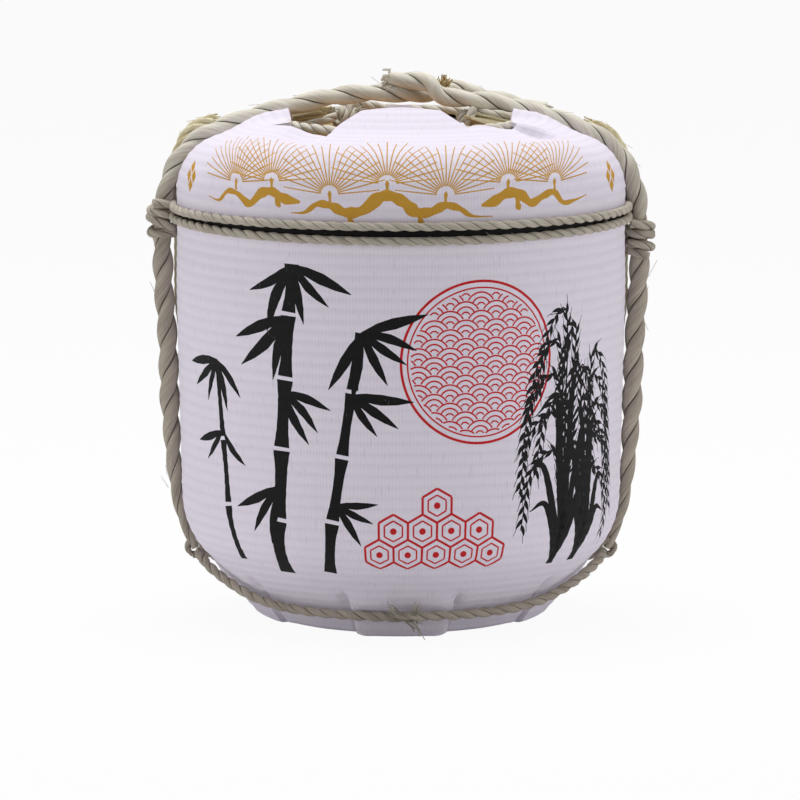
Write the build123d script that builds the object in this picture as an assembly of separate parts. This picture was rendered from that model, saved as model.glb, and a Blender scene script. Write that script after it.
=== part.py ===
from build123d import *
from math import asin, atan2, cos, degrees, pi, radians, sin, sqrt, tan
import os

# A cedar barrel of about 18 litres, packed in straw, wrapped in two printed mats and lashed with rope.
# Millimetres. The origin is the centre of the base, +Z is up and the printed front faces -Y.

# Barrel
barrel_top_radius = 165.0
barrel_bottom_radius = 139.5
stave_length = 344.0
stave_count = 18
stave_thickness = 11.5
stave_joint = 0.1
head_depth = 16.0
bottom_depth = 12.0
board_thickness = 14.0
board_count = 5
board_joint = 0.1
croze_depth = 4.0
croze_clearance = 0.2
dowel_radius = 2.5
dowel_length = 30.0
dowel_clearance = 0.1
dowel_spacing = 110.0
hoop_thickness = 7.0
hoop_width = 13.0
hoop_round = 2.0
hoop_seat = 0.15
hoops_from_bottom = [35.0, 53.0, 113.0]
hoops_from_top = [119.0, 53.0, 35.0]

# Plugs
bung_radius = 14.0
bung_head_radius = 17.0
bung_head_height = 8.0
bung_clearance = 0.3
tap_radius = 10.0
tap_height = 70.0
tap_clearance = 0.2
tap_proud = 3.0

# Straw packing between the barrel and the wrap
base_packing = 37.0
wall_packing = 20.0
shoulder_packing = 8.0
packing_gap = 0.3
jacket_lift = 19.0
collar_height = 21.0

# Wrap: the two printed mats
mat_thickness = 4.0
mat_seam = 0.6
wall_taper = 5.0
wall_taper_length = 193.0
foot_rise = 40.0
foot_round = 70.0
base_tuck = 24.5
base_round = 12.0
shoulder_round = 46.0
dome_slope = 20.0
fold_tip_radius = 15.0
flap_reach = 87.0
flap_half_width = 31.0
flap_length = 36.0
flap_flare = 27.0

# Ropes and cords
rope_radius = 7.7
rope_end_radius = 4.1
rope_middle_radius = 5.0
rope_middle_rise = 15.0
rope_taper_length = 103.0
cord_radius = 4.1
lay_gap = 0.3
rim_lift = 2.0
corner_reach = 1.03
shoulder_cord_drop = 51.5
shoulder_cord_pitch = 8.5
hitch_drop = 26.5
hitch_turns = 3.5
tie_turns = 1.5
tie_drop = 23.0
winding_gap = 0.7
mouth_cord_inset = 13.0
collar_overhang = 3.0
straw_roll_radius = 8.0

# Heights, radii and slopes that follow from the sizes above
barrel_bottom = base_packing
barrel_top = barrel_bottom + stave_length
head_top = barrel_top - head_depth
head_bottom = head_top - board_thickness
bottom_low = barrel_bottom + bottom_depth
bottom_high = bottom_low + board_thickness
board_width = 2 * (barrel_top_radius - stave_thickness + croze_depth) / board_count
bung_y = -board_width
wall_radius = barrel_top_radius + wall_packing
foot_radius = wall_radius - wall_taper
foot_height = barrel_bottom + foot_rise
wall_taper_top = foot_height + wall_taper_length
base_radius = barrel_bottom_radius - base_tuck
shoulder_height = barrel_top + shoulder_packing
foot_slope = atan2(foot_height, foot_radius - base_radius)
flap_root = flap_reach + flap_length
flap_root_half_width = flap_half_width + flap_flare
jacket_foot = foot_height - jacket_lift
collar_top = barrel_top + collar_height
collar_mouth_radius = flap_reach - collar_overhang
mouth_cord_radius = flap_reach + mouth_cord_inset
shoulder_cord_height = shoulder_height - shoulder_cord_drop
hitch_bottom = shoulder_cord_height - hitch_drop
hitch_axis = wall_radius + 2 * cord_radius + rope_radius + 2 * lay_gap
winding_pitch = 2 * cord_radius + winding_gap
rope_taper_top = foot_height + rope_taper_length
rope_taper_middle = foot_height + rope_middle_rise
tie_height = foot_height - tie_drop
tie_axis = base_radius + tie_height / tan(foot_slope) + (3 * cord_radius + 2 * lay_gap) / sin(foot_slope)


def dome_height(radius):
    """Height of the wrap's dome at a distance from the axis."""
    return shoulder_height + (wall_radius - radius) * tan(radians(dome_slope))


def wall_at(height):
    """Radius of the wrap's wall at a height."""
    share = min(1.0, (height - foot_height) / (wall_taper_top - foot_height))
    return foot_radius + (wall_radius - foot_radius) * share


def stave_face(height):
    """Outer radius of the tapered staves at a height."""
    share = (height - barrel_bottom) / stave_length
    return barrel_bottom_radius + (barrel_top_radius - barrel_bottom_radius) * share


def on_dome(radius, thickness):
    """Height of the centre of a rope that lies on the dome."""
    return dome_height(radius) + (thickness + lay_gap) / cos(radians(dome_slope))


def round_shoulder(radius, angles):
    """Points, distance from the axis and height, of a rope that lies round the shoulder."""
    centre = wall_radius - shoulder_round
    level = shoulder_height - shoulder_round * tan(radians(90 - dome_slope) / 2)
    reach = (shoulder_round + radius + lay_gap) * corner_reach
    return [(centre + reach * cos(radians(angle)), level + reach * sin(radians(angle))) for angle in angles]


def inset_line(points, distance):
    """The open outline moved towards its left by a distance, corner for corner."""
    moved = []
    for start, end in zip(points, points[1:]):
        run = (Vector(*end) - Vector(*start)).normalized()
        left = Vector(-run.Y, run.X) * distance
        moved.append((Vector(*start) + left, run))
    corners = [moved[0][0]]
    for (origin, run), (next_origin, next_run) in zip(moved, moved[1:]):
        between = next_origin - origin
        across = run.X * next_run.Y - run.Y * next_run.X
        along = (between.X * next_run.Y - between.Y * next_run.X) / across
        corners.append(origin + run * along)
    last_origin, last_run = moved[-1]
    last_length = (Vector(*points[-1]) - Vector(*points[-2])).length
    corners.append(last_origin + last_run * last_length)
    return [(corner.X, corner.Y) for corner in corners]


def wrap_outline(inset):
    """The wrap's section, radius and height, from the fold tips under the base to above the mouth."""
    dome_tip = 0.8 * flap_reach
    points = [
        (fold_tip_radius, 0),
        (base_radius, 0),
        (foot_radius, foot_height),
        (wall_radius, wall_taper_top),
        (wall_radius, shoulder_height),
        (dome_tip, dome_height(dome_tip)),
    ]
    taper_round = 5 * wall_radius
    rounds = [base_round, foot_round, taper_round, shoulder_round]
    return inset_line(points, inset), [max(1.0, size - inset) for size in rounds]


def upright(face):
    """Stand a flat section up so that its X is the radius and its Y the height."""
    return Plane.XZ * face


def turned(face, start, end):
    """Turn a section about the axis from one azimuth to another, in degrees from +X."""
    return Rot(0, 0, start) * revolve(upright(face), axis=Axis.Z, revolution_arc=end - start)


def ring(face):
    return revolve(upright(face), axis=Axis.Z)


def polygon(points):
    return make_face(Polyline(*points, close=True))


def slab(low, high, radius):
    """A round plate between two heights."""
    return Pos(0, 0, (low + high) / 2) * Cylinder(radius, high - low)


def wrap_inside():
    """The space inside the mats, which the straw fills."""
    points, rounds = wrap_outline(mat_thickness + packing_gap)
    skin = FilletPolyline(*points, radius=rounds)
    low, high = points[0], points[-1]
    closing = Polyline(high, (0, high[1]), (0, low[1]), low)
    return ring(make_face(skin + closing))


def mouth_cut():
    """The cross-shaped mouth between four wide flaps and four tucked corners."""
    points = []
    for quarter in range(4):
        corners = [
            (-flap_root_half_width, -flap_root),
            (-flap_half_width, -flap_reach),
            (flap_half_width, -flap_reach),
            (flap_root_half_width, -flap_root),
        ]
        for x, y in corners:
            spot = Vector(x, y).rotate(Axis.Z, 90 * quarter)
            points.append((spot.X, spot.Y))
    floor = shoulder_height - shoulder_round
    return Pos(0, 0, floor) * extrude(polygon(points), dome_height(0) - floor)


def mat(middle):
    """One printed mat, half of the wrap, with its folds in at the mouth and under the base."""
    outer, outer_rounds = wrap_outline(0)
    inner, inner_rounds = wrap_outline(mat_thickness)
    skin = FilletPolyline(*outer, radius=outer_rounds)
    back = FilletPolyline(*inner, radius=inner_rounds)
    edges = skin + Line(outer[-1], inner[-1]) + back + Line(inner[0], outer[0])
    seam = degrees(asin(mat_seam / 2 / wall_radius))
    return turned(make_face(edges), middle - 90 + seam, middle + 90 - seam) - mouth_cut()


def stave_section():
    """A stave's section with the two grooves that hold the boards."""
    def inner(height):
        return stave_face(height) - stave_thickness

    points = [(stave_face(barrel_bottom), barrel_bottom), (stave_face(barrel_top), barrel_top)]
    points.append((inner(barrel_top), barrel_top))
    for low, high in ((head_bottom, head_top), (bottom_low, bottom_high)):
        top = high + croze_clearance
        points += [(inner(top), top), (croze_floor(low), top), (croze_floor(low), low), (inner(low), low)]
    points.append((inner(barrel_bottom), barrel_bottom))
    return polygon(points)


def croze_floor(height):
    """Radius of the floor of the groove whose lower face is at a height."""
    return stave_face(height) - stave_thickness + croze_depth


def tap_bore(radius, length):
    """A round bar through the front stave at the tap's height."""
    height = barrel_bottom + tap_height
    middle = stave_face(height) - stave_thickness / 2
    return Pos(0, -middle, height) * Rot(90, 0, 0) * Cylinder(radius, length)


def dowels(height, radius, length):
    """Pegs across each joint between boards, two to a joint."""
    pegs = []
    for joint in range(1, board_count):
        y = (joint - board_count / 2) * board_width
        for x in (-dowel_spacing / 2, dowel_spacing / 2):
            pegs.append(Pos(x, y, height) * Rot(90, 0, 0) * Cylinder(radius, length))
    return pegs


def boards(low):
    """The boards of a lid or bottom, edge to edge, cut to a disc that fits the staves' groove."""
    radius = croze_floor(low) - croze_clearance
    disc = slab(low, low + board_thickness, radius)
    middle = low + board_thickness / 2
    bores = dowels(middle, dowel_radius + dowel_clearance, dowel_length + 2 * dowel_clearance)
    made = []
    for number in range(board_count):
        y = (number + 0.5 - board_count / 2) * board_width
        outermost = number in (0, board_count - 1)
        width = board_width * (3 if outermost else 1) - board_joint
        shift = (board_width if number else -board_width) if outermost else 0
        strip = Pos(0, y + shift, middle) * Box(4 * radius, width, 2 * board_thickness)
        board = disc & strip
        for bore in bores:
            board -= bore
        made.append(board)
    return made


def bung_shape():
    """The filling plug: a stem in the lid's hole under a wider head that rests on the lid."""
    stem = Pos(0, 0, -board_thickness / 2) * Cylinder(bung_radius - bung_clearance, board_thickness)
    head = Pos(0, 0, bung_head_height / 2) * Cylinder(bung_head_radius, bung_head_height)
    rim = head.edges().group_by(Axis.Z)[-1]
    return Pos(0, bung_y, head_top) * (stem + fillet(rim, bung_head_height / 4))


def hoop(height):
    """A bamboo hoop driven down on the staves' taper."""
    lean = degrees(atan2(barrel_top_radius - barrel_bottom_radius, stave_length))
    seat = stave_face(height) + hoop_seat + hoop_thickness / 2
    return ring(Pos(seat, height) * Rot(0, 0, -lean) * RectangleRounded(hoop_thickness, hoop_width, hoop_round))


def packing_bore():
    """The barrel and its hoops, as the space they take in the straw."""
    room = hoop_seat + hoop_thickness + packing_gap
    low, high = stave_face(barrel_bottom) + room, stave_face(barrel_top) + room
    return ring(polygon([(0, barrel_bottom), (low, barrel_bottom), (high, barrel_top), (0, barrel_top)]))


def bend_radii(points):
    """The largest even bend at each corner of a route."""
    radii = []
    for before, corner, after in zip(points, points[1:], points[2:]):
        arrive = Vector(*corner) - Vector(*before)
        leave = Vector(*after) - Vector(*corner)
        half_turn = radians(arrive.get_angle(leave)) / 2
        radii.append(0.45 * min(arrive.length, leave.length) / tan(half_turn))
    return radii


def start_plane(points):
    """The plane square to a route at its start."""
    return Plane(origin=points[0], z_dir=Vector(*points[1]) - Vector(*points[0]))


def tube(name, points, radius):
    """A round cord along a route of straight runs and tangent bends."""
    radii = bend_radii(points)
    path = FilletPolyline(*points, radius=radii)
    solid = sweep(start_plane(points) * Circle(radius), path=path)
    ratio = solid.volume / (pi * radius**2 * path.length)
    print(f"{name}: length {path.length:.0f}, least bend {min(radii):.1f}, volume ratio {ratio:.4f}")
    return solid


def biarc(start, start_way, end, end_way):
    """Two tangent arcs from one point and direction to another."""
    chord = end - start
    both = start_way + end_way
    lack = 2 * (1 - start_way.dot(end_way))
    reach = (sqrt(chord.dot(both) ** 2 + lack * chord.dot(chord)) - chord.dot(both)) / lack
    first, second = start + start_way * reach, end - end_way * reach
    middle = (first + second) / 2
    return [
        TangentArc(start, middle, tangent=start_way),
        TangentArc(middle, end, tangent=second - first),
    ]


def winding(name, origin, axis, outward, core_radius, turns):
    """A cord wound round a core, its two ends leaving straight and away from the mat."""
    axis, outward = Vector(*axis), Vector(*outward)
    side = axis.cross(outward)
    coil_radius = core_radius + cord_radius + lay_gap
    rise = winding_pitch / (2 * pi)

    def spot(angle):
        return Vector(*origin) + (outward * cos(angle) - side * sin(angle)) * coil_radius + axis * (rise * angle)

    def way(angle):
        return ((outward * -sin(angle) - side * cos(angle)) * coil_radius + axis * rise).normalized()

    first = pi / 2
    steps = round(4 * turns)
    angles = [first + pi / 2 * step for step in range(steps + 1)]
    tail = 2 * cord_radius
    edges = [Line(spot(angles[0]) - way(angles[0]) * tail, spot(angles[0]))]
    for low, high in zip(angles, angles[1:]):
        edges += biarc(spot(low), way(low), spot(high), way(high))
    edges.append(Line(spot(angles[-1]), spot(angles[-1]) + way(angles[-1]) * tail))
    path = Wire(edges)
    fine = [first + (angles[-1] - first) * step / 400 for step in range(401)]
    gaps = [
        (spot(low) - spot(high)).length - 2 * cord_radius
        for low in fine
        for high in fine
        if high - low > pi
    ]
    print(f"{name}: least gap to itself {min(gaps):.2f}")
    section = Plane(origin=path @ 0, z_dir=path % 0) * Circle(cord_radius)
    return sweep(section, path=path)


def shoulder_cord(middle, height):
    """One run of the doubled cord round half of the shoulder, from hitch to hitch."""
    radius = wall_radius + cord_radius + lay_gap
    coil = rope_radius + 2 * cord_radius + lay_gap
    depth = sqrt(coil**2 - (hitch_axis - radius - cord_radius) ** 2) + lay_gap
    stop = degrees(asin(depth / radius))
    return turned(Pos(radius, height) * Circle(cord_radius), middle - 90 + stop, middle + 90 - stop)


def rope_side(hand):
    """Route of a thick rope up one side: off the wall at the hitch, then over the shoulder."""
    lie = rope_radius + 2 * lay_gap
    hitch_top = hitch_bottom + hitch_turns * winding_pitch + cord_radius
    rim = flap_reach + 1
    middle = (rope_taper_top + hitch_bottom) / 2 - 2 * cord_radius
    places = [
        (wall_at(rope_taper_top) + lie, rope_taper_top),
        (wall_at(middle) + lie, middle),
        (hitch_axis, hitch_bottom - 8 * cord_radius),
        (hitch_axis, hitch_top + 2 * cord_radius),
    ]
    places += round_shoulder(rope_radius, (12, 30, 48, 64))
    return [(hand * x, 0, z) for x, z in places] + [(hand * rim, -3, on_dome(rim, rope_radius) + rim_lift)]


def rope_end(hand, start):
    """The thinned end of a thick rope, from its full-size start plane down to its tie."""
    middle = wall_at(rope_taper_middle) + rope_middle_radius + 2 * lay_gap
    low = tie_height + 3 * cord_radius + lay_gap + rope_end_radius / 4
    top = start.origin
    waist = Vector(hand * middle, 0, rope_taper_middle)
    tip = Vector(hand * tie_axis, 0, low)
    sections = [start * Circle(rope_radius)]
    for spot, along, radius in ((waist, top - tip, rope_middle_radius), (tip, waist - tip, rope_end_radius)):
        sections.append(Plane(origin=spot, x_dir=start.x_dir, z_dir=along) * Circle(radius))
    return loft(sections, ruled=True)


def thick_rope(name, hand, over_top):
    """A thick rope: thinned end, side, shoulder and its run over the mouth."""
    route = rope_side(hand) + over_top
    return tube(name, route, rope_radius) + rope_end(hand, start_plane(route))


def foot_point(azimuth, height, standoff):
    """A point on the sloping foot, azimuth from the front towards +X, lifted off the mat."""
    radius = base_radius + height / tan(foot_slope) + standoff / sin(foot_slope)
    return (radius * sin(radians(azimuth)), -radius * cos(radians(azimuth)), height)


def foot_cord():
    """The cord round the foot: low at front and back, drawn up to the rope ends at the sides."""
    lie = cord_radius + 7 * lay_gap
    over = lie + 2 * cord_radius + lay_gap
    rising = [(20, 20, lie), (36, 20.5, lie), (51, 24, lie), (64, 32, lie), (75, 43, lie + 1)]
    tie_half = winding_pitch * tie_turns / 2 + 3 * cord_radius
    points = [foot_point(5, 9, lie), foot_point(-2, 15, lie), foot_point(-10, 19, lie)]
    quarter = [foot_point(*place) for place in rising]
    left_front = [(-x, y, z) for x, y, z in quarter]
    left_back = [(-x, -y, z) for x, y, z in reversed(quarter)]
    right_back = [(x, -y, z) for x, y, z in quarter]
    right_front = list(reversed(quarter))
    left = [(-tie_axis, -tie_half, tie_height), (-tie_axis, tie_half, tie_height)]
    right = [(tie_axis, tie_half, tie_height), (tie_axis, -tie_half, tie_height)]
    back = [foot_point(180, 20, lie)]
    points += left_front + left + left_back + back + right_back + right + right_front
    points += [foot_point(9, 20.5, lie + 3), foot_point(1, 19, over + 1), foot_point(-6, 14, over)]
    return tube("bottom_cord", points, cord_radius)


def collar_cord():
    """The cord round the straw in the mouth, its end lifted over its start at the back left."""
    rest = collar_top + cord_radius + lay_gap
    lift = 2 * cord_radius + 2 * lay_gap
    start = 225
    places = [(start - 14, -8, 0), (start + 3, -1, 0)]
    places += [(start + 24 * step, 0, 0) for step in range(1, 14)]
    places += [(start + 327, 0, 0), (start + 340, 2, lift / 2), (start + 352, 1, lift)]
    places += [(start + 364, -2, lift + 1), (start + 374, -6, lift)]
    points = []
    for azimuth, out, up in places:
        radius = mouth_cord_radius + out
        points.append((radius * cos(radians(azimuth - 90)), radius * sin(radians(azimuth - 90)), rest + up))
    return tube("mouth_cord", points, cord_radius)


def straw_roll(name, hand):
    """A roll of straw along the shoulder, behind the thick rope."""
    beside = rope_radius + straw_roll_radius + lay_gap
    lie = straw_roll_radius + lay_gap
    low = shoulder_cord_height + shoulder_cord_pitch / 2 + cord_radius + straw_roll_radius
    inner = wall_radius - shoulder_round
    places = [(wall_radius + lie, low)]
    places += round_shoulder(straw_roll_radius, (16, 34, 52))
    places.append((inner, on_dome(inner, straw_roll_radius) + rim_lift / 2))
    return tube(name, [(hand * x, beside, z) for x, z in places], straw_roll_radius)


def build():
    """Every piece by name."""
    pieces = {}
    pieces["front_mat"] = mat(-90)
    pieces["back_mat"] = mat(90)

    straw = wrap_inside()
    wide = 2 * wall_radius
    pieces["base_pad"] = straw & slab(-1, barrel_bottom, wide)
    pieces["straw_jacket"] = (straw & slab(jacket_foot, barrel_top, wide)) - packing_bore()
    collar_bore = slab(barrel_top - 1, collar_top + 1, collar_mouth_radius)
    pieces["straw_collar"] = (straw & slab(barrel_top, collar_top, wide)) - collar_bore

    span = 360 / stave_count
    joint = degrees(stave_joint / barrel_bottom_radius)
    section = stave_section()
    for number in range(stave_count):
        middle = -90 + span * number
        stave = turned(section, middle - (span - joint) / 2, middle + (span - joint) / 2)
        if number == 0:
            stave -= tap_bore(tap_radius + tap_clearance, 4 * stave_thickness)
        pieces[f"stave_{number + 1:02d}"] = stave
    pieces["tap_plug"] = tap_bore(tap_radius, stave_thickness + 2 * tap_proud)

    hole = Pos(0, bung_y, head_top) * Cylinder(bung_radius, 4 * board_thickness)
    bung_board = 1
    for number, board in enumerate(boards(head_bottom)):
        pieces[f"head_board_{number + 1}"] = board - hole if number == bung_board else board
    for number, board in enumerate(boards(bottom_low)):
        pieces[f"bottom_board_{number + 1}"] = board
    pieces["head_dowels"] = Compound(dowels(head_bottom + board_thickness / 2, dowel_radius, dowel_length))
    pieces["bottom_dowels"] = Compound(dowels(bottom_low + board_thickness / 2, dowel_radius, dowel_length))
    pieces["bung"] = bung_shape()
    hoop_heights = [barrel_bottom + rise for rise in hoops_from_bottom]
    hoop_heights += [barrel_top - drop for drop in hoops_from_top]
    for number, height in enumerate(hoop_heights):
        pieces[f"hoop_{number + 1}"] = hoop(height)

    crossing = on_dome(flap_reach, rope_radius) + rim_lift
    left_top = [(-45, -6, crossing - 1), (-4, -6, crossing - 5), (45, 13.5, crossing - 2)]
    left_top += [(flap_reach + 1, 17, crossing), (flap_reach + 31, 19.5, on_dome(flap_reach + 31, rope_radius))]
    right_top = [(46, -9, crossing + 4), (6, -7, crossing + 11), (-24, 3, crossing + 11.5)]
    pieces["left_rope"] = thick_rope("left_rope", -1, left_top)
    pieces["right_rope"] = thick_rope("right_rope", 1, right_top)

    for name, hand in (("left", -1), ("right", 1)):
        hitch_origin = (hand * hitch_axis, 0, hitch_bottom - winding_pitch / 4)
        pieces[f"{name}_hitch"] = winding(
            f"{name}_hitch", hitch_origin, (0, 0, 1), (hand, 0, 0), rope_radius, hitch_turns)
        tie_origin = (hand * tie_axis, -winding_pitch * (tie_turns / 2 + 0.25), tie_height)
        pieces[f"{name}_tie"] = winding(
            f"{name}_tie", tie_origin, (0, 1, 0), (hand, 0, 0), cord_radius, tie_turns)
        pieces[f"{name}_shoulder_straw"] = straw_roll(f"{name}_shoulder_straw", hand)

    for name, middle in (("front", -90), ("back", 90)):
        for level, rise in (("upper", shoulder_cord_pitch / 2), ("lower", -shoulder_cord_pitch / 2)):
            pieces[f"{name}_cord_{level}"] = shoulder_cord(middle, shoulder_cord_height + rise)
    pieces["bottom_cord"] = foot_cord()
    pieces["mouth_cord"] = collar_cord()
    return pieces


os.makedirs("parts", exist_ok=True)
for name, piece in build().items():
    export_step(piece, f"parts/{name}.step")
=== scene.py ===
"""Dress the straw-wrapped sake barrel: printed mats, laid ropes and cords, straw, cedar and bamboo."""
import math

import bpy
import numpy as np
from bpy.props import FloatProperty, FloatVectorProperty, IntProperty, PointerProperty
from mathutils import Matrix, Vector
from mathutils.geometry import delaunay_2d_cdt


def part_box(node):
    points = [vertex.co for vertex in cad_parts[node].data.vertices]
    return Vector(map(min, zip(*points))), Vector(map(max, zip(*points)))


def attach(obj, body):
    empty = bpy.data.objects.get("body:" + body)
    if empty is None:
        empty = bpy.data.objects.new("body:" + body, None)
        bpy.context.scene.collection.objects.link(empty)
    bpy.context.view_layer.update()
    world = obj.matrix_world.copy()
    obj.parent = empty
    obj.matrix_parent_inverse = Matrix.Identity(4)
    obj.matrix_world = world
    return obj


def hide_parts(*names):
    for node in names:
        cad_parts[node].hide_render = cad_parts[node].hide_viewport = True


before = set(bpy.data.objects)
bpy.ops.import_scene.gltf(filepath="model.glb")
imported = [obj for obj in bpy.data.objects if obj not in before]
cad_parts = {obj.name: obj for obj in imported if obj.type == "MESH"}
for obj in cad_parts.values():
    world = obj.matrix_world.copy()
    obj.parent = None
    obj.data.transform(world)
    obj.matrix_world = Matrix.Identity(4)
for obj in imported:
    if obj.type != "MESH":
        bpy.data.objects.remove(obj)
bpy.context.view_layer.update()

bl_info = {
    "name": "Straw-wrapped barrel",
    "version": (1, 0, 0),
    "blender": (4, 5, 0),
    "location": "3D View > Sidebar > Barrel",
    "description": "Makes the wrap, the lashing and the finishes of a straw-wrapped sake barrel",
    "category": "Object",
}

MM = 0.001
WHITE = (1.0, 1.0, 1.0, 1.0)
BODY = "barrel"
# Distance between the points of a rope's and of a cord's line
ROPE_STEP, CORD_STEP = 0.0022, 0.0016


def tint(red, green, blue):
    """A colour from its display values, 0 to 255, as the linear values that a shader takes."""
    shares = [value / 255 for value in (red, green, blue)]
    return tuple(s / 12.92 if s <= 0.04045 else ((s + 0.055) / 1.055) ** 2.4 for s in shares)


def length_value(name, description, default, low=0.0):
    return FloatProperty(
        name=name, description=description, default=default, min=low, precision=4, unit="LENGTH")


def power_value(name, description, default):
    return FloatProperty(name=name, description=description, default=default, min=0.0, unit="POWER")


def colour_value(name, description, default):
    return FloatVectorProperty(
        name=name, description=description, default=default, min=0.0, max=1.0, size=3, subtype="COLOR")


class BarrelSizes(bpy.types.PropertyGroup):
    """Sizes of the wrap and its lashing, in metres."""
    mat_thickness: length_value("Mat thickness", "Thickness of the straw mat", 0.004)
    row_pitch: length_value("Row pitch", "Distance between the mat's binding rows", 0.009)
    row_depth: length_value("Row depth", "Depth of the dip along each binding row", 0.00042)
    rib_pitch: length_value("Rib pitch", "Width of one upright straw of the mat", 0.0029)
    column_pitch: length_value("Column pitch", "Width of the mat's mesh columns", 0.005)
    rope_radius: length_value("Rope radius", "Radius of the thick side ropes", 0.0086)
    rope_lay: length_value("Rope lay", "Length of one turn of a thick rope's strand", 0.056)
    cord_radius: length_value("Cord radius", "Radius of the thin cords", 0.0041)
    shoulder_cord_radius: length_value("Shoulder cord radius", "Radius of the shoulder's cords", 0.0037)
    tie_radius: length_value("Tie radius", "Radius of the loops that tie the thick ropes' ends", 0.0027)
    cord_lay: length_value("Cord lay", "Length of one turn of a thin cord's strand", 0.029)
    straw_radius: length_value("Straw radius", "Radius of one loose straw", 0.0013)
    roll_radius: length_value("Roll radius", "Radius of the straw rolls on the shoulders", 0.0072)
    roll_lay: length_value("Roll lay", "Length of one turn of a straw roll", 0.07)
    collar_straws: IntProperty(
        name="Collar straws", description="Loose straws in the mouth", default=420, min=0)


class BarrelColours(bpy.types.PropertyGroup):
    """Colours of the mats, inks, ropes, straw and wood."""
    mat: colour_value("Mat", "Whitened straw mat", tint(231, 224, 237))
    # Black ink of the print, also used for the painted shadow between the shoulder cords.
    black_ink_and_painted_shadow: colour_value("Black ink", "Black print", tint(9, 8, 9))
    red_ink: colour_value("Red ink", "Red print", tint(192, 26, 32))
    gold_ink: colour_value("Gold ink", "Gold print", tint(196, 148, 52))
    rope: colour_value("Rope", "Lit face of the laid straw rope", tint(188, 178, 164))
    rope_shade: colour_value("Rope shade", "Darker fibres of the rope", tint(134, 125, 110))
    # Painted light: these two colours make the rope paler on top, as if lit by the light overhead.
    rope_painted_lit_top: colour_value("Rope top", "Bleached rope on top", tint(234, 229, 216))
    rope_painted_lit_top_shade: colour_value("Rope top shade", "Darker fibres of the bleached rope", tint(184, 177, 160))
    straw: colour_value("Straw", "Dry straw", tint(218, 198, 144))
    straw_shade: colour_value("Straw shade", "Darker straws", tint(160, 132, 82))
    pale_straw: colour_value("Pale straw", "Bleached straw", tint(226, 217, 186))
    pale_straw_shade: colour_value("Pale straw shade", "Darker bleached straw", tint(196, 183, 146))
    cedar: colour_value("Cedar", "Pale cedar", tint(222, 176, 122))
    cedar_grain: colour_value("Cedar grain", "Dark grain of the cedar", tint(170, 104, 60))
    bamboo: colour_value("Bamboo", "Split bamboo", tint(206, 186, 112))
    bamboo_shade: colour_value("Bamboo shade", "Darker bamboo fibres", tint(150, 130, 70))


class BarrelStage(bpy.types.PropertyGroup):
    """Camera and light."""
    camera_distance: length_value("Camera distance", "From the barrel's axis to the camera", 7.6)
    camera_height: length_value("Camera height", "Height of the camera over the floor", 1.16)
    aim_height: length_value("Aim height", "Height on the barrel's axis in the picture's middle", 0.179)
    aim_side: length_value("Aim side", "Sideways place of the picture's middle", -0.0008, -1.0)
    picture_width: length_value("Picture width", "Width of the picture at the barrel's axis", 0.66)
    left_power: power_value("Left power", "Power of the left light", 27.0)
    right_power: power_value("Right power", "Power of the right light", 27.0)
    top_power: power_value("Top power", "Power of the light overhead", 67.0)
    sky_strength: FloatProperty(
        name="Sky strength", description="Even light from all round", default=0.30, min=0.0, max=1.0,
        subtype="FACTOR")


def sizes():
    return bpy.context.scene.barrel_sizes


def colours():
    return bpy.context.scene.barrel_colours


def stage_values():
    return bpy.context.scene.barrel_stage


class Value:
    """A shader socket that takes Python's arithmetic."""

    def __init__(self, nodes, socket):
        self.nodes = nodes
        self.socket = socket

    def maths(self, operation, *operands):
        return self.nodes.node("ShaderNodeMath", {"operation": operation}, dict(enumerate(operands)))

    def __add__(self, other):
        return self.maths("ADD", self, other)

    def __sub__(self, other):
        return self.maths("SUBTRACT", self, other)

    def __rsub__(self, other):
        return self.maths("SUBTRACT", other, self)

    def __mul__(self, other):
        return self.maths("MULTIPLY", self, other)

    def __truediv__(self, other):
        return self.maths("DIVIDE", self, other)

    def __pow__(self, other):
        return self.maths("POWER", self, other)

    __radd__ = __add__
    __rmul__ = __mul__

    def floor(self):
        return self.maths("FLOOR", self)

    def most(self, other):
        return self.maths("MAXIMUM", self, other)

    def wave(self):
        """A ridge from 0 to 1 and back in each unit."""
        return self.maths("ABSOLUTE", self.maths("SINE", self * math.pi))

    def step(self, low, high):
        """A smooth rise from 0 at low to 1 at high."""
        settings = {"interpolation_type": "SMOOTHSTEP"}
        return self.nodes.node("ShaderNodeMapRange", settings, {0: self, 1: low, 2: high, 3: 0.0, 4: 1.0})


class Nodes:
    """A node tree while it is being made."""

    def __init__(self, tree):
        self.tree = tree

    def node(self, kind, settings, inputs, output=0):
        """Add a node: its settings first, then a value or a link for each socket."""
        made = self.tree.nodes.new(kind)
        for key, value in settings.items():
            setattr(made, key, value)
        for key, value in inputs.items():
            self.feed(made.inputs[key], value)
        return Value(self, made.outputs[output])

    def feed(self, socket, value):
        if isinstance(value, Value):
            self.tree.links.new(value.socket, socket)
        else:
            socket.default_value = value


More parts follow.
